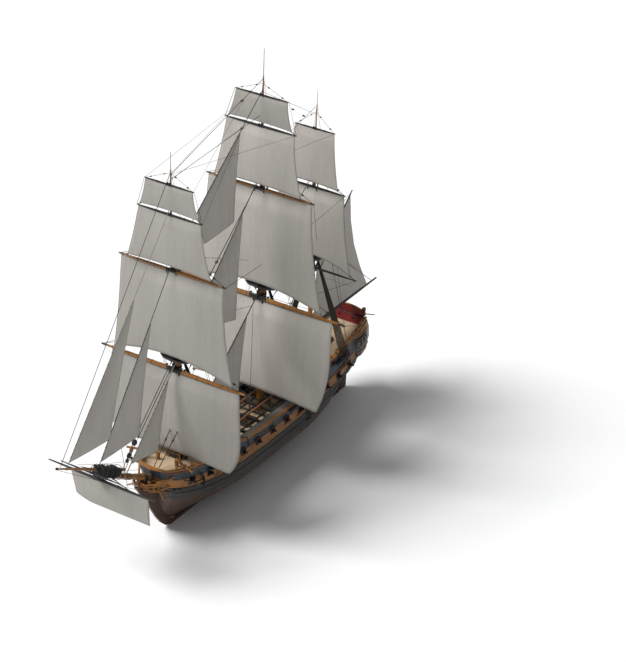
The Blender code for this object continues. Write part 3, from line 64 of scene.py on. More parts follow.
# ---- camera and light
CAMERA_AT = vec(89.747, 59.823, 67.081)
CAMERA_RIGHT = vec(-0.54397, 0.83864, 0.02777)
CAMERA_UP = vec(-0.39843, -0.28728, 0.87105)
LENS_MM, SENSOR_MM = 115.56, 36.0
SUN_BEARING, SUN_HEIGHT = math.radians(132.0), math.radians(53.5)  # the way the light travels, and how steeply
SUN_STRENGTH, SUN_SIZE = 3.25, 0.5
SKY, SKY_STRENGTH = (0.97, 0.985, 1.0, 1.0), 0.235

scene = bpy.context.scene
camera = bpy.data.objects.new("camera", bpy.data.cameras.new("camera"))
scene.collection.objects.link(camera)
camera.data.lens = LENS_MM
camera.data.sensor_width = SENSOR_MM
camera.data.clip_end = 1000.0
turn = Matrix((CAMERA_RIGHT, CAMERA_UP, CAMERA_RIGHT.cross(CAMERA_UP))).transposed()
camera.matrix_world = Matrix.Translation(CAMERA_AT) @ turn.to_4x4()
scene.camera = camera
scene.view_settings.view_transform = "Standard"

sun = bpy.data.objects.new("sun", bpy.data.lights.new("sun", "SUN"))
scene.collection.objects.link(sun)
sun.data.energy = SUN_STRENGTH
sun.data.angle = SUN_SIZE
level = math.cos(SUN_HEIGHT)
travel = vec(math.cos(SUN_BEARING) * level, math.sin(SUN_BEARING) * level, -math.sin(SUN_HEIGHT))
sun.rotation_mode = "QUATERNION"
sun.rotation_quaternion = travel.to_track_quat("-Z", "Y")
scene.world = bpy.data.worlds.new("world")
scene.world.use_nodes = True
background = scene.world.node_tree.nodes["Background"]
background.inputs["Color"].default_value = SKY
background.inputs["Strength"].default_value = SKY_STRENGTH


# ---- materials
class Field:
    """A value that varies over a surface: a socket of a material's tree, with arithmetic."""

    def __init__(self, paint, socket):
        self.paint = paint
        self.socket = socket

    def run(self, operation, *others):
        return self.paint.node("ShaderNodeMath", dict(enumerate((self, *others))), operation=operation)

    def __add__(self, other):
        return self.run("ADD", other)

    def __sub__(self, other):
        return self.run("SUBTRACT", other)

    def __mul__(self, other):
        return self.run("MULTIPLY", other)

    def __truediv__(self, other):
        return self.run("DIVIDE", other)

    def __gt__(self, other):
        return self.run("GREATER_THAN", other)

    def __lt__(self, other):
        return self.run("LESS_THAN", other)

    def __abs__(self):
        return self.run("ABSOLUTE")


class Paint:
    """A material with helpers that add nodes to it."""

    def __init__(self, name, rough=0.6, metal=0.0, coat=0.0, sheen=0.0):
        self.made = bpy.data.materials.new(name)
        self.made.use_nodes = True
        self.tree = self.made.node_tree
        self.shader = self.tree.nodes["Principled BSDF"].inputs
        for key, value in (("Roughness", rough), ("Metallic", metal), ("Coat Weight", coat), ("Sheen Weight", sheen)):
            self.shader[key].default_value = value
        self.place = self.node("ShaderNodeTexCoord", out="Object")

    def node(self, kind, values=None, out=0, **settings):
        """One output of a new node, which has the given inputs and settings."""
        made = self.tree.nodes.new(kind)
        for key, value in settings.items():
            setattr(made, key, value)
        for key, value in (values or {}).items():
            self.feed(made.inputs[key], value)
        return Field(self, made.outputs[out])

    def feed(self, socket, value):
        if isinstance(value, Field):
            self.tree.links.new(value.socket, socket)
        elif hasattr(value, "__len__") and len(value) == 3 and socket.type == "RGBA":
            socket.default_value = (*value, 1.0)
        else:
            socket.default_value = value

    def axis(self, name, of=None):
        return self.node("ShaderNodeSeparateXYZ", {"Vector": of or self.place}, name)

    def noise(self, scale, stretch=(1, 1, 1), detail=3.0):
        moved = self.node("ShaderNodeMapping", {"Vector": self.place, "Scale": stretch})
        return self.node("ShaderNodeTexNoise", {"Vector": moved, "Scale": scale, "Detail": detail}, "Fac")

    def chance(self, number):
        """A value from 0 to 1 for each whole number."""
        return self.node("ShaderNodeTexWhiteNoise", {"W": number}, "Value", noise_dimensions="1D")

    def ramp(self, value, stops, sharp=False):
        made = self.node("ShaderNodeValToRGB", {"Fac": value}, "Color")
        ramp = made.socket.node.color_ramp
        ramp.interpolation = "CONSTANT" if sharp else "LINEAR"
        for i, (at, colour) in enumerate(stops):
            stop = ramp.elements[i] if i < 2 else ramp.elements.new(at)
            stop.position = at
            stop.color = (*colour, 1.0)
        return made

    def mix(self, share, a, b, kind="MIX"):
        return self.node("ShaderNodeMix", {0: share, 6: a, 7: b}, 2, data_type="RGBA", blend_type=kind)

    def tint(self, colour, value, low, dark, high, light):
        """The colour times a factor that goes from dark to light as the value goes from low to high."""
        return self.mix(1.0, colour, self.ramp(value, [(low, (dark,) * 3), (high, (light,) * 3)]), "MULTIPLY")

    def shade(self, colour, share=0.25, scale=3.0, stretch=(1, 1, 1)):
        """The colour made lighter and darker in patches."""
        return self.tint(colour, self.noise(scale, stretch), 0.3, 1 - share, 0.7, 1 + 0.4 * share)

    def step(self, value, low, high):
        """Black below low and white above high, with a short slope between."""
        return self.ramp(value, [(low, (0, 0, 0)), (high, (1, 1, 1))])

    def rough(self, value, low, high):
        spread = self.node("ShaderNodeMapRange", {"Value": value, "To Min": low, "To Max": high})
        self.feed(self.shader["Roughness"], spread)

    def done(self, colour, height, strength, distance):
        """The finished material, with its colour and its relief."""
        self.feed(self.shader["Base Color"], colour)
        bump = self.node("ShaderNodeBump", {"Height": height, "Strength": strength, "Distance": distance})
        self.feed(self.shader["Normal"], bump)
        return self.made


OCHRE = (0.34, 0.140, 0.026)
BLACK = (0.016, 0.015, 0.014)
SLATE = (0.038, 0.052, 0.065)
GREY = (0.16, 0.165, 0.165)
RED = (0.20, 0.012, 0.010)
CREAM = (0.56, 0.42, 0.27)
BROWN = (0.085, 0.040, 0.022)
SPAR_BROWN = (0.20, 0.085, 0.03)
GUN_BROWN = (0.11, 0.045, 0.022)
HIGH_SPAR = (0.11, 0.105, 0.10)
ALONG_X, ALONG_Y, ALONG_Z = (0.06, 1, 1), (1, 0.06, 1), (1, 1, 0.06)

# The painted bands follow the sheer, which is lowest at SHEER_LOW and rises by these shares of the distance squared
SHEER_LOW, SHEER_FORE, SHEER_AFT = 5.0, 0.0028, 0.0029
BAND_LOW, BAND_HIGH, WALE = 1.78, 2.98, 0.95
BANDS = ((-4.4, (0.100, 0.054, 0.037)), (-1.9, (0.090, 0.050, 0.036)), (-0.15, (0.046, 0.040, 0.036)),
         (WALE, (0.030, 0.028, 0.026)), (BAND_LOW, OCHRE), (BAND_HIGH, SLATE))
BANDS_TOP = 3.6
PLANK = 0.21
# Where each raised deck begins, its height there and its rise by the distance squared
FORE_DECK, FORE_DECK_Z, FORE_DECK_RISE = 10.0, 3.86, 0.0028
AFT_DECK, AFT_DECK_Z, AFT_DECK_RISE = -3.4, 4.12, 0.0052


def wood(name, base, grain, rough=0.5):
    """Wood whose grain runs along the axis that grain is smallest on."""
    paint = Paint(name, rough, coat=0.1)
    lines = paint.noise(26.0, grain, 5.0)
    paint.rough(lines, rough - 0.08, rough + 0.15)
    tone = paint.tint(base, lines, 0.25, 0.65, 0.75, 1.12)
    return paint.done(paint.shade(tone, 0.22, 0.8), lines, 0.25, 0.004)


def plain(name, base, rough=0.5, metal=0.0, coat=0.0, share=0.3, scale=6.0):
    """An even colour with faint patches and a fine grain."""
    paint = Paint(name, rough, metal, coat)
    grain = paint.noise(scale * 9, detail=4.0)
    paint.rough(grain, rough - 0.08, rough + 0.12)
    return paint.done(paint.shade(paint.shade(base, share, scale), 0.15, scale * 7), grain, 0.2, 0.003)


def banded(name, axis, edges, colours, grain):
    """Painted wood in bands along one axis, or out from the middle where the axis is Y."""
    paint = Paint(name, 0.42, coat=0.15)
    at = paint.axis(axis)
    if axis == "Y":
        at = abs(at)
    low, high = edges[0], edges[-1]
    stops = [(max(0.0, (edge - low) / (high - low)), colour) for edge, colour in zip(edges, colours)]
    band = paint.ramp((at - low * SCALE) / ((high - low) * SCALE), stops, True)
    lines = paint.noise(26.0, grain, 5.0)
    return paint.done(paint.shade(paint.tint(band, lines, 0.25, 0.7, 0.75, 1.12), 0.2, 0.9), lines, 0.25, 0.004)


def canvas(name, axis, light=1.0):
    """Sailcloth sewn from strips that run down, a seam at each strip's width along one axis; light multiplies the
    colour, a painted shade that darkens some sails where it is under 1.0.
    """
    strip = 0.61 * SCALE
    paint = Paint(name, 0.88, sheen=0.08)
    count = paint.axis(axis) / strip + 1000.0
    seam = paint.step(abs(count.run("FRACT") - 0.5), 0.44, 0.475)
    base = paint.mix(paint.chance(count.run("FLOOR")), (0.462, 0.436, 0.397), (0.482, 0.456, 0.417))
    base = paint.shade(base, 0.07, 0.35, (1, 1, 0.35))
    base = paint.shade(base, 0.04, 5.0, (1, 1, 0.2))
    base = paint.mix(seam * 0.07, base, (0.20, 0.18, 0.15))
    weave, cross = (paint.node("ShaderNodeTexWave", {"Vector": paint.place, "Scale": 55.0, "Distortion": 0.6}, "Fac",
                               bands_direction=way) for way in ("Z", axis))
    tall = (weave + cross) * 0.12 + seam * 0.5 + paint.noise(1.1, (1, 1, 0.5))
    # The cloth's colour times light: painted shade where light is under 1.0
    return paint.done(paint.mix(1.0, base, (light, light, light), "MULTIPLY"), tall, 0.25, 0.010)


def hull_paint():
    """The ship's side in bands that follow the sheer, over rows of planks; inside, a planked deck and red walls."""
    paint = Paint("hull_bands", 0.5, coat=0.06)
    x, y, z = (paint.axis(name) for name in "XYZ")
    from_low = x - SHEER_LOW * SCALE
    forward, aft = from_low.run("MAXIMUM", 0.0), from_low.run("MINIMUM", 0.0)
    level = z - (forward * forward * (SHEER_FORE / SCALE) + aft * aft * (SHEER_AFT / SCALE))
    low = BANDS[0][0]
    tall = BANDS_TOP - low
    stops = [((at - low) / tall, colour) for at, colour in BANDS]
    band = paint.ramp((level - low * SCALE) / (tall * SCALE), stops, True)
    plank = (level / 0.14 + 50.0).run("FRACT")
    seam = paint.step(abs(plank - 0.5), 0.43, 0.48)
    lines = paint.noise(9.0, (0.12, 1, 1), 5.0)
    tone = paint.shade(paint.tint(band, lines, 0.3, 0.68, 0.72, 1.18), 0.3, 0.9, (0.4, 1, 1))
    tone = paint.mix(seam * 0.45, tone, (0.012, 0.010, 0.009))
    # Deck where the face looks up, and walls where it looks inward, or forward at the stern
    facing = paint.node("ShaderNodeTexCoord", out="Normal")
    inward = paint.axis("Y", facing) * y.run("SIGN") < -0.25
    after_wall = (paint.axis("X", facing) > 0.5) * (x < -18.0 * SCALE)
    wall = inward.run("MAXIMUM", after_wall) * (z > 1.5 * SCALE)
    floor = (paint.axis("Z", facing) > 0.7) * (z > 1.6 * SCALE) * (z < 2.6 * SCALE)
    gap = ((y / (PLANK * SCALE)).run("FRACT") < 0.09) * 0.6
    planks = paint.mix(gap, paint.shade(CREAM, 0.2, 5.0, (0.1, 1, 1)), (0.09, 0.065, 0.04))
    tone = paint.mix(wall, tone, paint.shade(RED, 0.3, 3.0))
    paint.rough(lines, 0.42, 0.68)
    return paint.done(paint.mix(floor, tone, planks), lines - seam * 1.5, 0.4, 0.006)


def planking(name, start, low, rise, end):
    """Deck planks along X with dark seams and butts; what stands above the deck is ochre."""
    paint = Paint(name, 0.7)
    row = paint.axis("Y") / (PLANK * SCALE)
    number = row.run("FLOOR")
    x = paint.axis("X") / (6.0 * SCALE) + paint.chance(number)
    edge, butt = (abs(value.run("FRACT") - 0.5) for value in (row, x))
    seam = (edge > 0.455).run("MAXIMUM", butt > 0.4965)
    lines = paint.noise(20.0, (0.1, 1, 1), 4.0)
    each = paint.chance(number * 7.0 + x.run("FLOOR"))
    tone = paint.mix(each, tuple(c * 0.90 for c in CREAM), tuple(c * 1.08 for c in CREAM))
    tone = paint.shade(paint.tint(tone, lines, 0.3, 0.86, 0.7, 1.06), 0.12, 0.7)
    tone = paint.mix(seam * 0.55, tone, (0.10, 0.07, 0.045))
    along_deck = (paint.axis("X") - start * SCALE).run(end, 0.0)
    stands = paint.axis("Z") - (along_deck * along_deck * (rise / SCALE) + (low + 0.07) * SCALE) > 0.0
    return paint.done(paint.mix(stands, tone, paint.shade(OCHRE, 0.3, 2.0)), lines - seam, 0.3, 0.004)


ochre = wood("ochre_wood", OCHRE, ALONG_X)
brown = wood("dark_brown_wood", (0.10, 0.045, 0.02), ALONG_Y)
black = plain("black_paint", BLACK, 0.45)
iron = plain("gun_iron", (0.012, 0.012, 0.013), 0.38, 0.3)
dark_rope = plain("tarred_rope", (0.040, 0.034, 0.028), 0.85, scale=20.0)
pale_rope = plain("bolt_rope", (0.30, 0.275, 0.24), 0.9, scale=20.0)
block_wood = plain("block_wood", (0.13, 0.045, 0.022), 0.55)
slate = plain("slate_paint", SLATE, 0.5)
red = plain("red_paint", RED, 0.45, coat=0.1)
glass = plain("window_glass", (0.10, 0.14, 0.20), 0.12, coat=0.5, share=0.5)
skin = plain("carved_wood", (0.50, 0.30, 0.22), 0.5, coat=0.1)
robe = plain("carved_robe", (0.33, 0.20, 0.17), 0.5, coat=0.1)
tarred_canvas = plain("tarred_canvas", (0.022, 0.021, 0.021), 0.8, scale=12.0)
brass = plain("bell_brass", (0.55, 0.36, 0.12), 0.3, 0.9)
canvas_square = canvas("canvas_square", "Y")
canvas_driver = canvas("canvas_fore_and_aft", "X")
# The same sailcloth darkened by a factor: painted shade for the fore mast's sails, the fore course, the jibs and the
# staysails
canvas_fore_painted_shade = canvas("canvas_fore_mast_painted_shade", "Y", 0.80)
canvas_fore_course_painted_shade = canvas("canvas_fore_course_painted_shade", "Y", 0.73)
canvas_jib_painted_shade = canvas("canvas_jibs_painted_shade", "X", 0.96)
canvas_stay_painted_shade = canvas("canvas_staysails_painted_shade", "X", 0.97)


def give(material, *names):
    """One material for whole solids of the source."""
    for name in names:
        mesh = nodes[name].data
        mesh.materials.clear()
        mesh.materials.append(material)


# ---- the rig's places, as in part.py
Mast = namedtuple("Mast", "x lean radius topmast_radius top top_half head hounds cap pole truck high_ahead shrouds")
MASTS = {
    "fore": Mast(16.20, 0.003, 0.42, 0.235, 17.0, 1.90, 19.4, 29.6, 31.2, 39.85, 41.94, 1.15, 4),
    "main": Mast(-0.02, -0.017, 0.45, 0.255, 18.9, 2.04, 21.6, 32.6, 34.4, 44.60, 47.84, 1.15, 5),
    "mizzen": Mast(-10.22, -0.041, 0.31, 0.18, 18.1, 1.40, 20.1, 28.3, 29.6, 37.50, 39.20, 0.98, 3),
}
TOPMAST_AHEAD = 0.62
Yard = namedtuple("Yard", "mast z half ahead radius")
YARDS = {
    "fore_course_yard": Yard("fore", 15.45, 10.13, 0.66, 0.24),
    "fore_topsail_yard": Yard("fore", 27.99, 7.11, 1.06, 0.18),
    "fore_topgallant_yard": Yard("fore", 34.77, 4.33, 1.40, 0.12),
    "fore_royal_yard": Yard("fore", 38.26, 3.25, 1.45, 0.10),
    "main_course_yard": Yard("main", 17.35, 11.80, 0.92, 0.26),
    "main_topsail_yard": Yard("main", 31.32, 7.31, 1.30, 0.19),
    "main_topgallant_yard": Yard("main", 38.95, 4.79, 1.50, 0.13),
    "main_royal_yard": Yard("main", 42.53, 3.61, 1.37, 0.10),
    "crossjack_yard": Yard("mizzen", 16.77, 6.55, 0.62, 0.15),
    "mizzen_topsail_yard": Yard("mizzen", 27.26, 4.60, 1.00, 0.13),
    "mizzen_topgallant_yard": Yard("mizzen", 34.60, 2.83, 1.18, 0.09),
}
YARD_TAPER = ((0.0, 1.0), (0.12, 1.0), (0.55, 0.86), (1.0, 0.42))
# Each square sail's yard, half widths at its head and foot, clews' height, foot's rise and belly, and the yard below
Sail = namedtuple("Sail", "yard head foot clew_z rise belly below")
SQUARE_SAILS = {
    "fore_course": Sail("fore_course_yard", 9.25, 7.6, 4.87, 0.55, 0.75, None),
    "fore_topsail": Sail("fore_topsail_yard", 6.75, 8.0, 16.10, 1.50, 0.85, "fore_course_yard"),
    "fore_topgallant_sail": Sail("fore_topgallant_yard", 4.05, 5.5, 28.55, 0.35, 0.55, "fore_topsail_yard"),
    "fore_royal": Sail("fore_royal_yard", 3.05, 3.8, 35.15, 0.20, 0.30, "fore_topgallant_yard"),
    "main_course": Sail("main_course_yard", 10.60, 8.7, 5.15, 0.75, 0.80, None),
    "main_topsail": Sail("main_topsail_yard", 6.95, 8.6, 17.95, 1.60, 0.95, "main_course_yard"),
    "main_topgallant_sail": Sail("main_topgallant_yard", 4.50, 5.8, 31.85, 0.37, 0.60, "main_topsail_yard"),
    "main_royal": Sail("main_royal_yard", 3.40, 4.2, 39.30, 0.20, 0.30, "main_topgallant_yard"),
    "mizzen_topsail": Sail("mizzen_topsail_yard", 4.35, 5.8, 17.35, 1.50, 0.70, "crossjack_yard"),
    "mizzen_topgallant_sail": Sail("mizzen_topgallant_yard", 2.65, 3.75, 27.85, 0.30, 0.40, "mizzen_topsail_yard"),
}


def along(pairs, at):
    """A value between the pairs of a place and the value there."""
    return float(np.interp(at, [p[0] for p in pairs], [p[1] for p in pairs]))


def mast_x(mast, z):
    return MASTS[mast].x + MASTS[mast].lean * z


def yard_x(name):
    return mast_x(YARDS[name].mast, YARDS[name].z) + YARDS[name].ahead


def yard_r(name, share):
    """A yard's radius at a share of its half length."""
    return YARDS[name].radius * along(YARD_TAPER, abs(share))


# ---- paint for the solids that the source made
give(hull_paint(), "hull")
give(wood("keel_wood", BROWN, ALONG_X, 0.6), "keel_and_stem", "rudder")
give(planking("forecastle_planks", FORE_DECK, FORE_DECK_Z, FORE_DECK_RISE, "MAXIMUM"), "forecastle_deck")
give(planking("quarterdeck_planks", AFT_DECK, AFT_DECK_Z, AFT_DECK_RISE, "MINIMUM"), "quarterdeck")
give(ochre, "rails", "head_rails", "steering_wheel", "capstan", "jib_boom")
give(banded("gallery_paint", "Z", (2.0, 3.55, 5.45, 7.8), (BLACK, SLATE, OCHRE, OCHRE), ALONG_X), "stern_galleries")
# From the middle out: beams, the spare spars on them, beams, gangways
give(banded("waist_paint", "Y", (0.0, 0.99, 1.31, 3.22, 4.6), (BLACK, SPAR_BROWN, BLACK, GREY, BLACK), ALONG_X),
     "waist_beams")
give(banded("gun_deck_guns", "Z", (1.6, 2.68, 3.4), (GUN_BROWN, BLACK, BLACK), ALONG_X),
     "gun_battery_port", "gun_battery_starboard")
give(banded("high_guns", "Z", (3.9, 4.78, 5.6), (GUN_BROWN, BLACK, BLACK), ALONG_X),
     "quarterdeck_guns_port", "quarterdeck_guns_starboard")
give(skin, "figurehead")
give(red, "taffrail")
give(black, "crossjack_yard", "mizzen_topsail_yard", "mizzen_topgallant_yard", "spritsail_yard", "sprit_topsail_yard",
     "driver_boom", "driver_gaff", "fore_topgallant_yards", "main_topgallant_yards")
give(pale_rope, "fore_stay")
give(dark_rope, "main_stay", "mizzen_stay")
for name in ("fore_course_yard", "fore_topsail_yard", "main_course_yard", "main_topsail_yard"):
    half = YARDS[name].half
    edges = (0.0, 0.10 * half, 0.92 * half, half)
    give(banded(f"{name}_paint", "Y", edges, (BLACK, OCHRE, BLACK, BLACK), ALONG_Y), name)
for name, mast in MASTS.items():
    edges = (0.0, mast.top - 0.3, mast.head + 0.1)
    give(banded(f"{name}_mast_paint", "Z", edges, (OCHRE, BLACK, BLACK), ALONG_Z), f"{name}_mast")
    edges = (15.0, mast.head + 0.4, mast.hounds - 0.2, mast.cap + 0.1, mast.pole, mast.truck)
    give(banded(f"{name}_topmast_paint", "Z", edges, (BLACK, OCHRE, BLACK, OCHRE, HIGH_SPAR, BLACK), ALONG_Z),
         f"{name}_topmast")
give(banded("bowsprit_paint", "X", (20.0, 26.6, 27.0, 29.2, 31.4), (OCHRE, BLACK, OCHRE, BLACK, BLACK), ALONG_X),
     "bowsprit")


# ---- mesh helpers, in ship metres
CORNERS = list(product((-1, 1), repeat=3))


def angles(count, closed=False):
    """Angles round a circle, with the first place again at the end where it is closed."""
    return [2 * math.pi * i / count for i in range(count + closed)]


def upright(way):
    """The turn that lays a form's own Z axis along a direction."""
    return way.to_track_quat("Z", "Y").to_matrix()


class Shape:
    """Faces gathered from simple forms, to be one piece."""

    def __init__(self):
        self.points = []
        self.faces = []

    def take(self, points, faces):
        start = len(self.points)
        self.points += [Vector(p) for p in points]
        self.faces += [tuple(start + i for i in face) for face in faces]

    def put(self, points, faces, centre, turn):
        """Take a form that is made round the origin, turned and then moved to its centre."""
        if turn is not None:
            points = [turn @ p for p in points]
        self.take([Vector(centre) + p for p in points], faces)

    def tube(self, line, radii, sides=6, caps=True):
        """A round bar along points, with one radius or a radius at each."""
        line = [Vector(p) for p in line]
        if not hasattr(radii, "__len__"):
            radii = [radii] * len(line)
        points, faces = [], []
        side = None
        for i, (at, radius) in enumerate(zip(line, radii)):
            way = (line[min(i + 1, len(line) - 1)] - line[max(i - 1, 0)]).normalized()
            if side is None:
                side = way.cross(vec(z=1) if abs(way.z) < 0.9 else vec(x=1)).normalized()
            else:
                side = (side - way * side.dot(way)).normalized()
            over = way.cross(side)
            for a in angles(sides):
                points.append(at + radius * (math.cos(a) * side + math.sin(a) * over))
        for i in range(len(line) - 1):
            for k in range(sides):
                a, b = i * sides + k, i * sides + (k + 1) % sides
                faces.append((a, b, b + sides, a + sides))
        if caps:
            faces.append(tuple(reversed(range(sides))))
            faces.append(tuple(range((len(line) - 1) * sides, len(line) * sides)))
        self.take(points, faces)

    def ring(self, centre, axis, radius, thick, turns=16, sides=6):
        """A round ring about an axis."""
        axis = Vector(axis).normalized()
        side = axis.cross(vec(z=1) if abs(axis.z) < 0.9 else vec(x=1)).normalized()
        over = axis.cross(side)
        points, faces = [], []
        for a in angles(turns):
            out = math.cos(a) * side + math.sin(a) * over
            for b in angles(sides):
                points.append(Vector(centre) + out * (radius + thick * math.cos(b)) + axis * thick * math.sin(b))
        for i in range(turns):
            for k in range(sides):
                a, b = i * sides + k, i * sides + (k + 1) % sides
                c, d = ((i + 1) % turns) * sides + (k + 1) % sides, ((i + 1) % turns) * sides + k
                faces.append((a, d, c, b))
        self.take(points, faces)

    def brick(self, centre, size, turn=None, bevel=0.12):
        """A box with cut edges."""
        x, y, z = (0.5 * s for s in size)
        cut = bevel * min(x, y, z)
        points = []
        for (sx, sy, sz), k in product(CORNERS, range(3)):
            inset = [cut, cut, cut]
            inset[k] = 0.0
            points.append(vec(sx * (x - inset[0]), sy * (y - inset[1]), sz * (z - inset[2])))
        self.put(points, BOX_FACES, centre, turn)

    def egg(self, centre, size, turn=None, rings=6, sides=10):
        """A rounded body, with a half size for each of its axes."""
        points = [vec(z=size[2])]
        for i in range(1, rings):
            a = math.pi * i / rings
            for b in angles(sides):
                points.append(vec(size[0] * math.sin(a) * math.cos(b), size[1] * math.sin(a) * math.sin(b),
                                  size[2] * math.cos(a)))
        points.append(vec(z=-size[2]))
        faces = []
        for k in range(sides):
            faces.append((0, 1 + k, 1 + (k + 1) % sides))
            for i in range(rings - 2):
                a, b = 1 + i * sides + k, 1 + i * sides + (k + 1) % sides
                faces.append((a, a + sides, b + sides, b))
            last = 1 + (rings - 2) * sides
            faces.append((len(points) - 1, last + (k + 1) % sides, last + k))
        self.put(points, faces, centre, turn)

    def grid(self, place, across, down):
        """A sheet of faces over u and v from 0 to 1."""
        self.strip([[place(i / across, j / down) for i in range(across + 1)] for j in range(down + 1)])

    def strip(self, lines):
        """Faces between neighbouring lines of points that have the same count."""
        count = len(lines[0])
        faces = []
        for j in range(len(lines) - 1):
            for i in range(count - 1):
                a = j * count + i
                faces.append((a, a + 1, a + count + 1, a + count))
        self.take([p for line in lines for p in line], faces)

    def made(self, name, material, body="hull_body", smooth=True):
        mesh = bpy.data.meshes.new(name)
        mesh.from_pydata([tuple(SCALE * p) for p in self.points], [], self.faces)
        mesh.validate()
        mesh.polygons.foreach_set("use_smooth", [smooth] * len(mesh.polygons))
        mesh.materials.append(material)
        piece = bpy.data.objects.new(name, mesh)
        bpy.context.scene.collection.objects.link(piece)
        if body:
            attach(piece, body)
        return piece


def box_faces():
    """The faces of a box whose every corner is cut to three points."""
    corner = {at: 3 * i for i, at in enumerate(CORNERS)}
    faces = []
    for k in range(3):
        u, v = (k + 1) % 3, (k + 2) % 3
        for s in (-1, 1):
            loop = []
            for a, b in ((-1, -1), (1, -1), (1, 1), (-1, 1)):
                at = [0, 0, 0]
                at[k], at[u], at[v] = s, a, b
                loop.append(corner[tuple(at)] + k)
            faces.append(tuple(loop if s > 0 else reversed(loop)))
        for a, b in product((-1, 1), repeat=2):
            low, high = [0, 0, 0], [0, 0, 0]
            low[k], high[k] = -1, 1
            for at in (low, high):
                at[u], at[v] = a, b
            lo, hi = corner[tuple(low)], corner[tuple(high)]
            loop = (lo + u, hi + u, hi + v, lo + v)
            faces.append(loop if a * b > 0 else tuple(reversed(loop)))
    for (sx, sy, sz), at in corner.items():
        loop = (at, at + 1, at + 2)
        faces.append(loop if sx * sy * sz > 0 else tuple(reversed(loop)))
    return faces


BOX_FACES = box_faces()


# ---- sails
def sheet_area(shape):
    area = 0.0
    for face in shape.faces:
        a, b, c, d = (shape.points[i] for i in face)
        area += ((b - a).cross(c - a).length + (c - a).cross(d - a).length) / 2
    return area * SCALE * SCALE


def measure(line):
    return sum((b - a).length for a, b in zip(line, line[1:])) * SCALE


def sail(name, place, across, down, material, body):
    """A sheet of sailcloth with the rope sewn round its edge, in place of its plain solid."""
    cloth = Shape()
    cloth.grid(place, across, down)
    area = sheet_area(cloth)
    piece = cloth.made(f"{name}_cloth", material, body)
    shell = piece.modifiers.new("thickness", "SOLIDIFY")
    shell.thickness = 0.006
    shell.offset = 0.0
    edge = Shape()
    steps = [i / 40 for i in range(41)]
    for line in ([place(s, 1) for s in steps], [place(s, 0) for s in steps],
                 [place(0, s) for s in steps], [place(1, s) for s in steps]):
        edge.tube(line, 0.030, 5)
    rope = edge.made(f"{name}_bolt_rope", pale_rope, body)
    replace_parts(piece, name)
    steps = [i / 30 for i in range(31)]
    wide = max(measure([place(s, v) for s in steps]) for v in (0.0, 0.5, 1.0))
    tall = max(measure([place(u, s) for s in steps]) for u in (0.0, 0.5, 1.0))


# Half widths of the courses from head to foot, by the share of the way down, as a smooth line through these
COURSE_LEECH = {
    name: np.polyfit(*zip(*leech), 4)
    for name, leech in (
        ("fore_course", [(0, 8.6), (0.2, 8.78), (0.4, 9.0), (0.6, 9.05), (0.8, 8.8), (0.93, 8.2), (1.0, 7.6)]),
        ("main_course", [(0, 10.05), (0.28, 10.17), (0.52, 10.15), (0.71, 9.85), (0.86, 9.35), (1.0, 8.7)]),
    )
}


def square_place(name):
    yard, head, foot, clew_z, rise, belly, below = SQUARE_SAILS[name]
    mast, top, half, ahead, radius = YARDS[yard]
    x_head = yard_x(yard)
    reach = ahead + 0.35
    if below:
        reach = max(YARDS[below].ahead + 0.05, TOPMAST_AHEAD + MASTS[mast].topmast_radius + 0.12)
    if "topgallant" in name:
        reach += 0.40
    x_foot = mast_x(mast, clew_z) + reach

    def place(u, v):
        s = 2 * u - 1
        down = 1 - v
        wide = head + (foot - head) * down - 0.35 * 4 * down * (1 - down) * (half / 10)
        if name in COURSE_LEECH:
            wide = float(np.polyval(COURSE_LEECH[name], down))
        hem = clew_z + rise * (1 - s * s)
        start = top - radius * 0.9 * max(0.0, 1 - 8 * down)
        level = start + (hem - start) * down
        swell = belly * math.sin(math.pi * (0.12 + 0.70 * down)) * (1 - 0.75 * s * s) * min(1.0, 6 * down)
        return vec(x_head + (x_foot - x_head) * down + swell, s * wide, level)

    return place


for name, (yard, *_) in SQUARE_SAILS.items():
    mast = YARDS[yard].mast
    # The fore mast's sails and the main royal take the cloth with painted shade, and the fore course a deeper painted
    # shade
    cloth = canvas_fore_painted_shade if mast == "fore" or name == "main_royal" else canvas_square
    if name == "fore_course":
        cloth = canvas_fore_course_painted_shade
    sail(name, square_place(name), 48, 36, cloth, f"{mast}_rig")

SPRITSAIL_X, SPRITSAIL_Z = 30.28, 8.13


def spritsail_place(u, v):
    down = 1 - v
    y = -4.05 + 10.35 * u + 0.50 * (1 - u) * down
    hem = 4.6 + 0.55 * max(0.0, 1 - 4 * u) ** 2
    z = SPRITSAIL_Z - 0.10 + (hem - SPRITSAIL_Z + 0.10) * down
    return vec(SPRITSAIL_X + 0.35 * math.sin(math.pi * down) * (1 - (2 * u - 1) ** 2) - 0.2 * down, y, z)


# The spritsail takes the fore mast's cloth with painted shade
sail("spritsail", spritsail_place, 40, 20, canvas_fore_painted_shade, "spritsail_rig")

BOOM_Z, GAFF_IN_Z = 8.22, 15.95
BOOM_OUT, GAFF_OUT = (-26.04, 0.0, 8.45), (-19.35, 0.0, 23.30)
BOOM_IN, GAFF_IN = (-11.10, 0.0, BOOM_Z), (-11.40, 0.0, GAFF_IN_Z)
PEAK_X, CLEW_X = -18.9, -23.8  # the driver's after corners, on the gaff and on the boom
LEECH = [(0.0, PEAK_X), (0.25, -19.25), (0.5, -20.2), (0.75, -21.8), (1.0, CLEW_X)]


def line_z(a, b, x):
    return a[2] + (b[2] - a[2]) * (x - a[0]) / (b[0] - a[0])


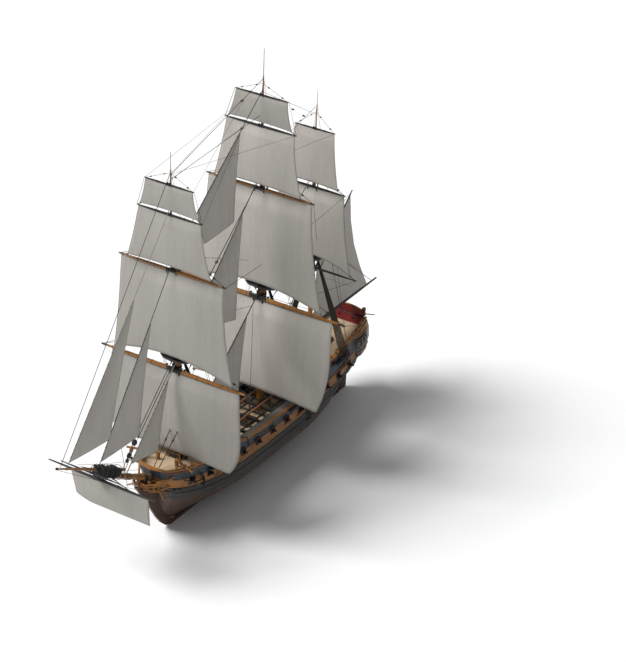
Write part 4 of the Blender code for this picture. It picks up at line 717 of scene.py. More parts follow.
def driver_place(u, v):
    down = 1 - v
    luff_x = mast_x("mizzen", 16.3 + (8.2 - 16.3) * down) - 0.98
    luff_z = line_z(GAFF_IN, GAFF_OUT, mast_x("mizzen", 16.3) - 0.98)
    luff_z += (line_z(BOOM_IN, BOOM_OUT, luff_x) - luff_z) * down
    leech_x = along(LEECH, down)
    leech_top = line_z(GAFF_IN, GAFF_OUT, PEAK_X)
    leech_z = leech_top + (line_z(BOOM_IN, BOOM_OUT, CLEW_X) - leech_top) * down
    return vec(luff_x + (leech_x - luff_x) * u, -0.55 * math.sin(math.pi * u) * math.sin(math.pi * down),
               luff_z + (leech_z - luff_z) * u)


sail("driver_sail", driver_place, 36, 36, canvas_driver, "driver")

STAYS = {
    "fore_stay": ((16.45, 16.62), (26.05, 6.36)),
    "main_stay": ((-0.10, 18.56), (15.95, 4.82)),
    "mizzen_stay": ((-10.80, 17.86), (-0.40, 7.16)),
    "jib": ((16.95, 29.42), (30.85, 9.66)),
    "flying_jib": ((17.40, 35.75), (36.02, 12.55)),
    "main_topmast_staysail": ((0.62, 32.99), (15.97, 17.38)),
    "main_topgallant_staysail": ((0.44, 43.12), (16.85, 29.66)),
}


def on_stay(name, x):
    (ax, az), (bx, bz) = STAYS[name]
    return vec(x, 0.0, az + (bz - az) * (x - ax) / (bx - ax))


def staysail_place(stay, head_x, tack_x, clew, tack_low=None, belly=0.3):
    head, low = on_stay(stay, head_x), on_stay(stay, tack_x)
    clew = vec(clew[0], 0.0, clew[1])
    tack = vec(tack_low[0], 0.0, tack_low[1]) if tack_low else low

    def place(u, v):
        t = 1 - v
        luff = head.lerp(low, t)
        if tack_low:
            luff = head.lerp(low, t / 0.62) if t < 0.62 else low.lerp(tack, (t - 0.62) / 0.38)
        top = head + vec(-0.22, 0, -0.02)
        leech = top.lerp(clew, t) + vec(x=0.18) * math.sin(math.pi * t)
        point = luff.lerp(leech, u)
        point.y = belly * math.sin(math.pi * u) * math.sin(math.pi * (0.08 + 0.84 * t)) + 0.16 * u * t
        return point

    return place


STAYSAILS = {
    "flying_jib": ("flying_jib", 24.24, 35.55, (28.80, 12.62), None, 0.3),
    "jib": ("jib", 21.38, 30.30, (23.70, 10.46), None, 0.3),
    "main_topgallant_staysail": ("main_topgallant_staysail", 4.97, 12.76, (6.0, 29.24), (11.45, 28.70), 0.3),
    "main_topmast_staysail": ("main_topmast_staysail", 4.27, 14.30, (5.42, 16.64), None, 0.3),
    "fore_topmast_staysail": ("fore_stay", 18.35, 25.05, (20.30, 6.69), None, 0.2),
    "main_staysail": ("main_stay", 3.2, 12.6, (4.68, 6.74), None, 0.2),
}
for name, (stay, *cut) in STAYSAILS.items():
    more = []
    (ax, az), (bx, bz) = STAYS[stay]
    if stay == name:
        rope = Shape()
        pale = name == "flying_jib"
        rope.tube([(ax, 0, az), (bx, 0, bz)], 0.035 if pale else 0.045, 6)
        more = [rope.made(f"{name}_stay", pale_rope if pale else dark_rope)]
    hanks = Shape()
    way = vec(bx - ax, 0, bz - az).normalized()
    for i in range(14):
        at = on_stay(stay, cut[0] + (cut[1] - cut[0]) * (i + 0.5) / 14)
        hanks.ring(at, way, 0.085 if stay == name else 0.12, 0.018, 8, 4)
    more.append(hanks.made(f"{name}_hanks", dark_rope))
    # Jibs and staysails take cloth with a slight painted shade
    cloth = canvas_stay_painted_shade if name.startswith("main") else canvas_jib_painted_shade
    sail(name, staysail_place(stay, *cut), 20, 44, cloth, "hull_body")


# ---- the ship's side
RAIL = [(-19.9, 6.55), (-16.0, 6.05), (-10.0, 5.55), (-5.2, 5.35), (-3.8, 3.95), (-3.0, 3.78), (9.0, 3.78),
        (10.4, 4.42), (14.0, 4.50), (19.0, 4.75), (22.0, 4.95)]
PORT_X = (18.35, 15.9, 13.0, 10.05, 7.1, 4.15, 1.2, -1.75, -4.7, -7.65, -10.6, -13.55)
HIGH_PORT_X = (-6.9, -9.7, -12.5)
PORT_HALF, HIGH_PORT_HALF = 0.39, 0.28
CHANNELS = {"fore": (12.9, 3.62), "main": (-3.3, 3.62), "mizzen": (-13.0, 4.75)}  # their after ends and heights


def gun_deck_at(x):
    return 1.80 + 0.0011 * (x - 1.0) ** 2


def forecastle_at(x):
    return FORE_DECK_Z + FORE_DECK_RISE * max(0.0, x - FORE_DECK) ** 2


def quarterdeck_at(x):
    return AFT_DECK_Z + AFT_DECK_RISE * (x - AFT_DECK) ** 2


def port_z(x):
    return 2.85 + 0.0012 * (x - 1) ** 2


def high_port_z(x):
    return quarterdeck_at(x) + 0.66


def sheer(x):
    """How far the painted bands rise above their height amidships."""
    return (SHEER_FORE if x > SHEER_LOW else SHEER_AFT) * (x - SHEER_LOW) ** 2


def tree_of(*names):
    points, faces = [], []
    for name in names:
        node = nodes[name]
        start = len(points)
        points += [node.matrix_world @ v.co for v in node.data.vertices]
        faces += [tuple(start + i for i in p.vertices) for p in node.data.polygons]
    return BVHTree.FromPolygons(points, faces)


HULL, GALLERIES = tree_of("hull"), tree_of("stern_galleries")
OUTSIDE, ASTERN = 9.0, -24.0  # places clear of the ship, from which its surface is looked for


def on_side(x, z, side, out=0.0):
    """The point of the ship's side at a length and a height, moved out along the side's normal in plan."""
    hit, normal = HULL.ray_cast(vec(x, side * OUTSIDE, z) * SCALE, vec(y=-side))[:2]
    if hit is None or hit.y * side < 0.02:
        return None
    flat = vec(normal.x, normal.y, 0).normalized()
    return hit / SCALE + flat * out


def moulding(shape, z_of, x_from, x_to, high, out, count=70):
    """A bar along the ship's side, on both sides, at a line of heights."""
    for side in (1, -1):
        lines = [[], [], [], []]
        for i in range(count + 1):
            x = x_from + (x_to - x_from) * i / count
            z = z_of(x)
            low, top = on_side(x, z - high / 2, side), on_side(x, z + high / 2, side)
            if low is None or top is None:
                continue
            away = (on_side(x, z, side, 1.0) or low) - (on_side(x, z, side) or low)
            edge = min(0.3 * high, out)
            lines[0].append(low - away * 0.03)
            lines[1].append(low + away * out + vec(z=edge))
            lines[2].append(top + away * out - vec(z=edge))
            lines[3].append(top - away * 0.03)
        start = len(shape.points)
        shape.strip(lines)
        last = len(lines[0]) - 1
        for k in (0, last):
            ends = tuple(start + j * (last + 1) + k for j in range(4))
            shape.faces.append(ends if k else tuple(reversed(ends)))


black_lines = Shape()
moulding(black_lines, lambda x: BAND_LOW - 0.08 + sheer(x), -18.4, 20.6, 0.16, 0.07)
moulding(black_lines, lambda x: WALE + 0.9 * sheer(x), -17.0, 20.3, 0.12, 0.05)
moulding(black_lines, lambda x: BAND_HIGH + sheer(x), -14.9, 20.4, 0.07, 0.045)
black_lines.made("black_wales", black, smooth=False)
ochre_lines = Shape()
moulding(ochre_lines, lambda x: along(RAIL, x) - 0.28, -19.0, -5.4, 0.12, 0.06)
moulding(ochre_lines, lambda x: along(RAIL, x) - 0.26, 10.6, 21.0, 0.10, 0.05)
ochre_lines.made("side_mouldings", ochre, smooth=False)
red_line = Shape()
moulding(red_line, lambda x: along(RAIL, x) - 0.08, 10.0, 21.3, 0.10, 0.035)
red_line.made("red_line", red, smooth=False)


def port_turn(at, side):
    """The turn that lays a port's own axes along the side and out from it."""
    out = (on_side(at.x, at.z - 0.75, side, 1.0) - on_side(at.x, at.z - 0.75, side)).normalized()
    return Matrix.Rotation(math.atan2(-out.x * side, out.y * side), 3, "Z")


liners = Shape()
frames = Shape()
bolts = Shape()
for xs, half, z_of in ((PORT_X, PORT_HALF, port_z), (HIGH_PORT_X, HIGH_PORT_HALF, high_port_z)):
    for x in xs:
        for side in (1, -1):
            z = z_of(x)
            lip = on_side(x, z - half - 0.12, side)
            turn = port_turn(vec(x, 0, z), side)
            face = vec(x, lip.y, z)
            inward = turn @ vec(y=-side)
            for across, tall, size in ((0, 1, (2 * half, 0.30, 0.04)), (0, -1, (2 * half, 0.30, 0.04)),
                                       (1, 0, (0.04, 0.30, 2 * half)), (-1, 0, (0.04, 0.30, 2 * half))):
                shift = turn @ vec(x=across * (half - 0.025)) + vec(z=tall * (half - 0.025))
                liners.brick(face + shift + inward * 0.16, size, turn)
                rim = turn @ vec(x=across * (half + 0.035)) + vec(z=tall * (half + 0.035))
                wide = tuple(s + 0.03 if s > 0.5 else s for s in (size[0] + 0.03, 0.07, size[2] + 0.03))
                frames.brick(face + rim - inward * 0.01, wide, turn)
            if xs is PORT_X:
                for step in (-0.95, -0.45, 0.45, 0.95):
                    low = on_side(x + step, 1.98 + sheer(x), side, 0.02)
                    if low is not None and x + step < 20.2:
                        bolts.egg(low, (0.045, 0.045, 0.045), None, 4, 6)
liners.made("port_linings", red, smooth=False)
frames.made("port_frames", slate, smooth=False)
bolts.made("side_bolts", black)

heads = Shape()


def rail_point(x, side, inset=0.17):
    z = along(RAIL, x)
    edge = on_side(x, z - 0.05, side) or on_side(x, z - 0.45, side)
    return None if edge is None else vec(x, edge.y - side * inset, z + 0.13)


TIMBERHEADS = ((10.9, 0.92, 0.20, 0.44, 0.46, 0.14), (-6.2, -1.15, 0.19, 0.36, 0.37, 0.13))
for start, step, wide, tall, cap_z, cap in TIMBERHEADS:
    for i, side in product(range(11), (1, -1)):
        at = rail_point(start + step * i, side)
        if at is None:
            continue
        heads.brick(at + vec(z=tall / 2 - 0.02), (wide, wide, tall))
        heads.brick(at + vec(z=cap_z), (wide + 0.06, wide + 0.06, cap), bevel=0.5)
heads.made("timberheads", ochre, smooth=False)

# Curved drift pieces where the rail steps down to the waist, and the side's steps
drifts = Shape()
for side in (1, -1):
    for line in ([(10.7, 4.62), (10.2, 4.72), (9.6, 4.60), (9.15, 4.28), (8.95, 3.92), (8.9, 3.5), (8.95, 3.05)],
                 [(-5.5, 5.62), (-4.9, 5.58), (-4.4, 5.2), (-3.9, 4.6), (-3.4, 4.12), (-2.8, 3.98)]):
        path = []
        for x, z in line:
            edge = on_side(x, min(z, along(RAIL, x) - 0.06), side)
            path.append(vec(x, edge.y + side * 0.05, z))
        drifts.tube(path, 0.085, 6)
    for i in range(6):
        z = 0.75 + 0.42 * i
        at = on_side(-1.75 - 1.47, z, side, 0.06)
        if at is not None and not 2.3 < z < 3.3:
            drifts.brick(at, (0.9, 0.16, 0.10))
drifts.made("drift_pieces", black, smooth=False)

# Channels' deadeyes and chains
Shrouds = namedtuple("Shrouds", "count aft fore z head")
SHROUDS = {
    "fore": Shrouds(7, 13.15, 15.15, 3.62, 16.74),
    "main": Shrouds(8, -3.05, -0.95, 3.62, 18.64),
    "mizzen": Shrouds(7, -12.85, -11.05, 4.75, 17.86),
}


def channel_foot(x, z, side, inset):
    """A place on a channel's top, near its outer edge."""
    edge = HULL.ray_cast(vec(x, side * OUTSIDE, z) * SCALE, vec(y=-side))[0] / SCALE
    return vec(x, edge.y - side * inset, z + 0.07)


def shroud_line(mast, i, side):
    """The foot on the channel's edge, and the head at the mast, of one of a mast's shrouds."""
    count, aft, fore, z, head = SHROUDS[mast]
    x = fore + (aft - fore) * i / (count - 1)
    foot = channel_foot(x, z, side, 0.08)
    top = vec(mast_x(mast, head) - 0.05 - 0.05 * i, side * (MASTS[mast].radius * 0.86 + 0.10), head - 0.03 * i)
    return foot, top


standing = Shape()
deadeyes = Shape()
lanyards = Shape()
chains = Shape()
ratlines = Shape()
for mast, (count, aft, fore, z, head) in SHROUDS.items():
    for side in (1, -1):
        lines = [shroud_line(mast, i, side) for i in range(count)]
        for foot, top in lines:
            way = (top - foot).normalized()
            low, high = foot + way * 0.14, foot + way * 0.74
            turn = upright(way)
            for at in (low, high):
                deadeyes.egg(at, (0.13, 0.075, 0.13), turn, 5, 8)
            for shift in (-0.055, 0.0, 0.055):
                lanyards.tube([low + vec(x=shift), high + vec(x=shift)], 0.013, 4)
            standing.tube([high + way * 0.08, top], 0.062 if mast == "mizzen" else 0.040, 5)
            at = on_side(foot.x, z - 1.35, side, 0.03)
            chains.tube([foot + vec(0, side * 0.10, -0.02), foot + vec(0, side * 0.10, -0.2), at], 0.028, 4)
            chains.egg(at, (0.06, 0.05, 0.09), None, 4, 6)
        rise = z + 1.35
        step = 0.34 if mast == "mizzen" else 0.42
        while rise < head - 1.9:
            row = []
            for foot, top in lines:
                share = (rise - foot.z) / (top.z - foot.z)
                row.append(foot.lerp(top, share))
            ratlines.tube(row, 0.028 if mast == "mizzen" else 0.018, 4, caps=False)
            rise += step
standing.made("lower_shrouds", dark_rope)
ratlines.made("lower_ratlines", dark_rope)
deadeyes.made("deadeyes", black)
lanyards.made("deadeye_lanyards", dark_rope)
chains.made("channel_chains", iron)


# ---- standing rigging above the tops
def fine(points, parts=14, sag=0.0):
    """A line through points in short parts, hanging between them by a share of the length."""
    points = [Vector(p) for p in points]
    line = [points[0]]
    for a, b in zip(points, points[1:]):
        for i in range(1, parts + 1):
            t = i / parts
            line.append(a.lerp(b, t) - vec(z=4 * sag * t * (1 - t) * (b - a).length))
    return line


def rope(shape, points, radius=0.03, sag=0.0, sides=5):
    shape.tube(fine(points, 8 if sag else 1, sag), radius, sides)


def block(shape, at, way=(0, 0, 1), size=0.15):
    """A rope block: a flattened shell with a strap round its edge."""
    turn = upright(Vector(way).normalized())
    shape.egg(at, (size * 0.75, size * 0.5, size), turn, 6, 8)
    shape.ring(at, turn @ vec(y=1), size * 0.86, size * 0.12, 10, 4)


FUTTOCK_DROP = 1.9  # how far below a top the shrouds under its edge end
upper = Shape()
upper_ratlines = Shape()
top_rims = Shape()
top_deadeyes = Shape()
for mast, spars in MASTS.items():
    top, wide, hounds, count = spars.top, spars.top_half, spars.hounds, spars.shrouds
    x = mast_x(mast, top)
    for side in (1, -1):
        lines = []
        for i in range(count):
            foot = vec(x - 0.78 + 0.85 * i / (count - 1), side * (wide * 0.955), top + 0.04)
            head = vec(mast_x(mast, hounds) + TOPMAST_AHEAD - 0.16 + 0.05 * i, side * (spars.topmast_radius + 0.05),
                       hounds - 0.14)
            lines.append((foot, head))
            way = (head - foot).normalized()
            turn = upright(way)
            low, high = foot + way * 0.10, foot + way * 0.45
            for at in (low, high):
                top_deadeyes.egg(at, (0.09, 0.055, 0.09), turn, 5, 8)
            for shift in (-0.03, 0.03):
                rope(upper, [low + vec(x=shift), high + vec(x=shift)], 0.011)
            rope(upper, [foot + way * 0.5, head], 0.028)
            # The shroud under the top's edge, from its deadeye down to one of the lower shrouds
            lower = SHROUDS[mast]
            share = (top - FUTTOCK_DROP - lower.z) / (lower.head - lower.z)
            pick = shroud_line(mast, min(lower.count - 1, 1 + i), side)
            rope(upper, [foot - vec(z=0.22), pick[0].lerp(pick[1], share)], 0.026)
            rope(upper, [foot - vec(z=0.22), low], 0.02)
        rise = top + 0.9
        while rise < hounds - 0.9:
            row = [foot.lerp(head, (rise - foot.z) / (head.z - foot.z)) for foot, head in lines]
            upper_ratlines.tube(row, 0.013, 4, caps=False)
            rise += 0.42
        # Topgallant shrouds from the crosstrees
        tg_head = spars.pole - (5.4 if mast != "mizzen" else 3.4)
        for i in range(2):
            foot = (mast_x(mast, hounds) + TOPMAST_AHEAD - 0.35 + 0.5 * i, side * 0.57, hounds)
            head = (mast_x(mast, tg_head) + spars.high_ahead - 0.03, side * 0.14, tg_head)
            rope(upper, [foot, head], 0.018)
        # The top's edge
        rim = [(x - 1.07, 0.0), (x - 1.07, wide), (x + 0.71, wide), (x + 1.23, wide * 0.62), (x + 1.39, 0.0)]
        top_rims.tube([(a, side * b, top + 0.02) for a, b in rim], 0.055, 5)
    for k in range(5):
        y = wide * (-0.8 + 0.4 * k)
        top_rims.brick((x - 0.1, y, top - 0.20), (1.9, 0.10, 0.08))
    # A rail across the after edge of the top, lower on the mizzen to clear the boom's lifts
    tall, reach = (0.66, 0.58) if mast == "mizzen" else (0.80, 0.93)
    for k in range(5):
        top_rims.brick((x - 1.0, wide * reach * (0.5 * k - 1) * 0.97, top + tall / 2), (0.07, 0.07, tall))
    top_rims.tube([(x - 1.0, -reach * wide, top + tall + 0.02), (x - 1.0, reach * wide, top + tall + 0.02)], 0.045, 6)
top_rims.made("top_rims_and_rails", black, smooth=False)
upper_ratlines.made("topmast_ratlines", dark_rope)
top_deadeyes.made("topmast_deadeyes", black)

# Backstays, from the topmast and topgallant heads to the channels' after ends
for mast, (aft, z) in CHANNELS.items():
    spars = MASTS[mast]
    beside = spars.topmast_radius + 0.02
    leads = [(spars.hounds - 0.1, TOPMAST_AHEAD, beside, 0.026), (spars.pole - 0.5, spars.high_ahead, 0.09, 0.02)]
    if mast != "mizzen":
        leads.append((spars.hounds - 0.25, TOPMAST_AHEAD, beside, 0.026))
    for side in (1, -1):
        for k, (high, ahead, out, thick) in enumerate(leads):
            x = aft + 0.05 + 0.22 * k
            foot = channel_foot(x, z, side, 0.10)
            head = vec(mast_x(mast, high) + ahead - 0.04, side * out, high)
            rope(upper, [foot, head], thick)
            way = (head - foot).normalized()
            for up in (0.2, 0.6):
                upper.egg(foot + way * up, (0.08, 0.06, 0.1), None, 4, 6)

# Stays between the masts and to the bowsprit
LONG_STAYS = [
    ((17.50, 0, 39.60), (36.95, 0, 13.28), 0.026),
    ((0.35, 0, 44.40), (17.38, 0, 39.30), 0.022),
    ((0.42, 0, 40.25), (17.42, 0, 38.75), 0.022),
    ((0.55, 0.10, 32.95), (16.55, 0.10, 19.30), 0.036),
    ((-10.45, 0, 37.3), (0.40, 0, 34.55), 0.020),
    ((-9.95, 0, 28.45), (0.02, 0, 21.75), 0.030),
    ((-10.60, 0, 36.30), (0.30, 0, 42.75), 0.016),
]
for a, b, radius in LONG_STAYS:
    rope(upper, [a, b], 1.35 * radius)
# The preventer of the fore stay, with its hearts, ahead of the stay that carries the staysail
for y in (0.16, -0.16):
    rope(upper, [(16.95, y, 16.95), (24.05, y, 10.15)], 0.045)
    rope(upper, [(24.20, y, 10.0), (26.55, y, 7.02)], 0.040)
hearts = Shape()
for at, size in (((23.75, 0.0, 10.45), (0.20, 0.26, 0.24)), ((24.35, 0.0, 9.82), (0.30, 0.36, 0.38)),
                 ((25.35, 0.0, 8.68), (0.22, 0.30, 0.36)), ((25.70, 0.0, 8.18), (0.20, 0.26, 0.24))):
    turn = upright(vec(1.0, 0, -1.0))
    hearts.egg(at, size, turn, 6, 8)
    hearts.ring(at, turn @ vec(x=1), size[2] * 0.95, 0.035, 10, 4)
hearts.made("stay_hearts", black)
small_block = Shape()
block(small_block, (24.95, 0.0, 9.15), (-0.7, 0, 1), 0.26)
for at, slope in (((4.47, 0.0, 43.17), -0.3), ((4.41, 0.0, 39.90), -0.1), ((-5.67, 0.0, 38.62), 0.7),
                  ((-7.96, 0.0, 37.03), 0.7), ((10.4, 0.1, 24.55), -0.85), ((9.2, 0.1, 25.58), -0.85)):
    block(small_block, at, (1, 0, slope), 0.22)
small_block.made("stay_blocks", block_wood)
upper.made("upper_standing_rigging", dark_rope)

# ---- the yards' lifts, footropes, sheets, blocks and bands
def lift_head(mast, yard):
    if "course" in yard or "crossjack" in yard:
        z = MASTS[mast].head
        return vec(mast_x(mast, z) + 0.45, 0.0, z)
    if "topsail" in yard:
        z = MASTS[mast].cap - 0.05
        return vec(mast_x(mast, z) + TOPMAST_AHEAD + 0.25, 0.0, z)
    if "topgallant" in yard:
        z = YARDS[yard].z + (2.4 if mast != "mizzen" else 1.9)
        return vec(mast_x(mast, z) + MASTS[mast].high_ahead + 0.10, 0.0, z)
    z = YARDS[yard].z + 1.25
    return vec(mast_x(mast, z) + MASTS[mast].high_ahead + 0.08, 0.0, z)


running, running_blocks, yard_irons = ({mast: Shape() for mast in MASTS} for _ in range(3))
for yard, (mast, z, half, ahead, radius) in YARDS.items():
    x = yard_x(yard)
    ropes, blocks, irons = running[mast], running_blocks[mast], yard_irons[mast]
    small = "royal" in yard or "topgallant" in yard
    big = "course" in yard
    thick = 0.020 if small else 0.028
    head = lift_head(mast, yard)
    for side in (1, -1):
        tip = vec(x, side * (half - 0.30), z + yard_r(yard, 0.96))
        top = head + vec(y=side * (0.10 if small else 0.24))
        lift = Shape()
        rope(lift, fine([top, tip]), thick)
        for share in (0.22, 0.80):
            block(lift, top.lerp(tip, share), top - tip, 0.14 if small else 0.16)
        lift = lift.made(f"{yard}_lift_{'port' if side > 0 else 'starboard'}", dark_rope, None)
        tuple(SCALE * top)
        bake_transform(lift)
        # Footrope with its stirrups, behind the yard
        if not small or mast == "mizzen" or "topgallant" in yard:
            drop = 0.55 if small else 0.85
            back = -0.05 if mast == "mizzen" else -0.14
            line = []
            for i in range(13):
                s = 0.04 + 0.92 * i / 12
                wave = abs(math.sin(math.pi * (0.5 + 3 * s)))
                line.append(vec(x + back, side * half * s, z - drop - 0.16 * wave * (0.4 if small else 1)))
            line[0] = vec(x, side * half * 0.03, z - radius)
            line[-1] = vec(x, side * (half - 0.15), z - yard_r(yard, 0.97))
            ropes.tube(line, 0.016, 4)
            for i in (3, 6, 9):
                ropes.tube([line[i], vec(x - 0.02, line[i].y, z - 0.5 * radius)], 0.011, 4)
        # Straps and the jackstay's lashings
        for s in ((0.30, 0.62, 0.94) if big else (0.45, 0.93)):
            irons.ring((x, side * half * s, z), (0, 1, 0), yard_r(yard, s) + 0.012, 0.028, 12, 4)
        if yard != "crossjack_yard":
            for i in range(1, 15 if not small else 9):
                s = i / (15.5 if not small else 9.5)
                irons.ring((x, side * half * s, z), (0, 1, 0), yard_r(yard, s) + 0.006, 0.014, 10, 3)
    # Slings at the middle and the pair of blocks beside them
    for y in (-0.34, 0.0, 0.34):
        wide = yard_r(yard, 0.05)
        irons.ring((x, y * (0.5 if small else 1), z), (0, 1, 0), wide + 0.03, 0.05 if big else 0.03, 12, 4)
    if not small:
        for y in (-0.62, 0.62):
            block(blocks, (x + 0.12, y, z - radius - 0.14), (0, 0, 1), 0.17 if big else 0.12)
        if big:
            for y in (-1.05, 0.95, 1.35):
                block(blocks, (x + 0.02, y, z + radius + 0.15), (0.3, 0.3, 1), 0.17)
    else:
        for y in (0.16, -0.16):
            block(blocks, (x + 0.05, y, z + radius + 0.08), (0, 0, 1), 0.10)

for mast in running:
    # Sheets from each upper sail's clews to the tips of the yard below
    for name, (yard, *_, below) in SQUARE_SAILS.items():
        if YARDS[yard].mast != mast:
            continue
        place = square_place(name)
        for side, u in ((1, 1.0), (-1, 0.0)):
            clew = place(u, 0.0)
            block(running_blocks[mast], clew + vec(-0.02, 0, -0.05), (0, side, 0.6), 0.10 if below else 0.20)
            if below:
                _, z, half, ahead, radius = YARDS[below]
                out = min(half - 0.22, abs(clew.y) + 0.75)
                tip = vec(yard_x(below), side * out, z + yard_r(below, out / half))
                rope(running[mast], [clew, tip], 0.024)
    running[mast].made(f"{mast}_yard_ropes", dark_rope, f"{mast}_rig")
    running_blocks[mast].made(f"{mast}_yard_blocks", black, f"{mast}_rig")
    yard_irons[mast].made(f"{mast}_yard_bands", black, f"{mast}_rig")


# ---- braces and sheets that reach from the hull to a mast's yards
def between(name, mast, ropes):
    """Ropes from places on the hull to places on the yards; each pair leads the same way along the ship."""
    shape = Shape()
    starts, ends = [], []
    for radius, points in ropes:
        rope(shape, fine(points), radius)
        starts.append(points[0][0])
        ends.append(points[-1][0])
    piece = shape.made(name, dark_rope, None)
    start = (SCALE * sum(starts) / len(starts), 0.0, SCALE * ropes[0][1][0][2])
    end = (SCALE * sum(ends) / len(ends), 0.0, SCALE * ropes[0][1][0][2])
    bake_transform(piece)


def tips(yard, side, inset=0.12):
    mast, z, half, ahead, radius = YARDS[yard]
    return (yard_x(yard), side * (half - inset), z)


BRACES = {
    "main_course_braces": ("main", "main_course_yard", (-17.4, 2.72, 6.32), 0.026),
    "main_topsail_braces": ("main", "main_topsail_yard", (-11.06, 0.42, 19.6), 0.024),
    "main_topgallant_braces": ("main", "main_topgallant_yard", (17.25, 0.10, 39.35), 0.018),
    "fore_course_braces": ("fore", "fore_course_yard", (1.9, 0.16, 16.72), 0.026),
    "fore_topsail_braces": ("fore", "fore_topsail_yard", (0.15, 0.42, 21.75), 0.024),
    "fore_topgallant_braces": ("fore", "fore_topgallant_yard", (4.41, 0.08, 39.88), 0.016),
    "fore_royal_braces": ("fore", "fore_royal_yard", (4.47, 0.08, 43.13), 0.016),
    "crossjack_braces": ("mizzen", "crossjack_yard", (-1.3, 1.35, 15.6), 0.024),
    "mizzen_topsail_braces": ("mizzen", "mizzen_topsail_yard", (-0.75, 0.42, 21.6), 0.020),
    "mizzen_topgallant_braces": ("mizzen", "mizzen_topgallant_yard", (0.05, 0.12, 34.3), 0.016),
}
for name, (mast, yard, at, radius) in BRACES.items():
    lines = [(radius, [(at[0], side * at[1], at[2]), tips(yard, side)]) for side in (1, -1)]
    between(name, mast, lines)
course_foot = {"fore": square_place("fore_course"), "main": square_place("main_course")}
for mast, tack, sheet in (("fore", (22.55, 2.50, 2.42), (4.0, 4.62, 3.92)),
                          ("main", (9.3, 4.45, 4.35), (-8.2, 4.12, 5.62))):
    for kind, at in (("tacks", tack), ("sheets", sheet)):
        lines = []
        for side, u in ((1, 1.0), (-1, 0.0)):
            clew = course_foot[mast](u, 0.0)
            lines.append((0.030, [(at[0], side * at[1], at[2]), clew + vec(z=-0.08)]))
        between(f"{mast}_course_{kind}", mast, lines)

# The pair of thick ropes from the bow to the fore course, each with a seized eye
bow_ropes = Shape()
for low, high in (((20.85, -0.10, 4.62), (17.80, -0.01, 8.19)), ((20.70, 0.55, 4.84), (17.80, 1.02, 8.30))):
    low, high = Vector(low), Vector(high)
    at = low.lerp(high, 0.74)
    bow_ropes.tube(fine([low, high], 12), 0.055, 6)
    turn = upright(high - low)
    bow_ropes.egg(at, (0.11, 0.11, 0.24), turn, 5, 8)
piece = bow_ropes.made("bow_ropes", dark_rope, None)
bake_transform(piece)

# Driver: the gaff's two spans and the boom's topping lifts
driver_ropes = Shape()
for x in (PEAK_X, -15.4):
    on_gaff = (x, 0.0, line_z(GAFF_IN, GAFF_OUT, x) + 0.14)
    rope(driver_ropes, [on_gaff, (mast_x("mizzen", 20.0) - 0.1, 0, 20.0)], 0.022)
for side in (1, -1):
    rope(driver_ropes, [(-24.9, side * 0.05, line_z(BOOM_IN, BOOM_OUT, -24.9) + 0.10),
                        (mast_x("mizzen", 20.05) - 0.14, side * 0.2, 20.05)], 0.020)
driver_ropes.made("driver_lifts", dark_rope, "driver")

# ---- bow
bands = Shape()
way = (vec(31.30, 0, 9.32) - vec(20.30, 0, 3.13)).normalized()


def on_bowsprit(x):
    """A place on the bowsprit's axis and its radius there."""
    t = (x - 20.30) / 11.0
    return vec(x, 0.0, 3.13 + 6.19 * t), 0.34 - 0.10 * t


def on_jib_boom(x):
    t = (x - 26.20) / 11.43
    return vec(x, 0.0, 7.32 + 6.14 * t), 0.17 - 0.08 * t


for x, thick in ((21.45, 0.07), (21.7, 0.07), (21.95, 0.07), (24.0, 0.035), (24.35, 0.035),
                 (25.35, 0.05), (25.75, 0.05), (26.1, 0.05)):
    at, r = on_bowsprit(x)
    bands.ring(at, way, r + 0.5 * thick, thick, 18, 6)
# Gammoning: rope turns from the bowsprit down to the knee
for k in range(5):
    x = 22.35 + 0.13 * k
    at, r = on_bowsprit(x)
    for side in (1, -1):
        bands.tube([at + vec(y=side * (r + 0.03)), vec(x + 0.15, side * 0.21, 3.45 + 0.1 * k)], 0.045, 5)
    bands.tube([at + vec(0, (r + 0.03) * math.cos(a), (r + 0.03) * math.sin(a)) for a in
                [math.pi * i / 8 for i in range(9)]], 0.045, 5)
for x in (33.2, 34.6, 36.0, 37.4):
    at, r = on_jib_boom(x)
    bands.ring(at, way, r + 0.02, 0.035, 14, 5)
at, r = on_jib_boom(37.55)
bands.egg(at, (0.16, 0.13, 0.16), None, 6, 10)
bands.made("bowsprit_bands", black)

# The furled sail and its lashings on the bowsprit, black with tar
bundle = Shape()
low, high = 27.6, 31.0
for i in range(14):
    share = i / 13
    x = low + (high - low) * share
    at, r = on_jib_boom(x)
    at = at.lerp(on_bowsprit(x)[0], 0.45)
    grow = 0.36 + 0.10 * math.sin(2.4 * i) + 0.05 * math.sin(5.1 * i)
    turn = upright(way)
    up_side = vec(-way.z, 0, way.x)
    for side in (1, -1):
        bundle.egg(at + up_side * 0.05 + vec(y=side * (0.24 + 0.05 * math.sin(3.0 * i))),
                   (grow * 0.9, grow * 1.65, 0.30), turn, 8, 12)
bundle.made("furled_bundle", tarred_canvas)
lines = Shape()
for x in (27.6, 28.5, 29.4, 30.3, 31.0):
    lines.ring(on_jib_boom(x)[0].lerp(on_bowsprit(x)[0], 0.45), way, 0.84, 0.035, 20, 5)
rope(lines, [(34.05, 0.0, 12.10), (26.3, 0.0, 8.36)], 0.020, 0.01)
for side in (1, -1):
    rope(lines, [(33.6, side * 0.1, 11.6), (21.6, side * 1.35, 4.35)], 0.022, 0.02)
    rope(lines, [(31.0, side * 0.30, 9.1), (20.9, side * 1.2, 3.6)], 0.024, 0.02)
rope(lines, [(30.6, 0.0, 8.55), (22.35, 0.0, 0.95)], 0.05)
rope(lines, [(28.4, 0.0, 7.35), (22.15, 0.0, 0.65)], 0.05)
rope(lines, [(37.3, 0.0, 13.1), (31.15, 0.0, 8.6), (24.2, 0.0, 3.6)], 0.022)
lines.made("bowsprit_ropes", dark_rope)

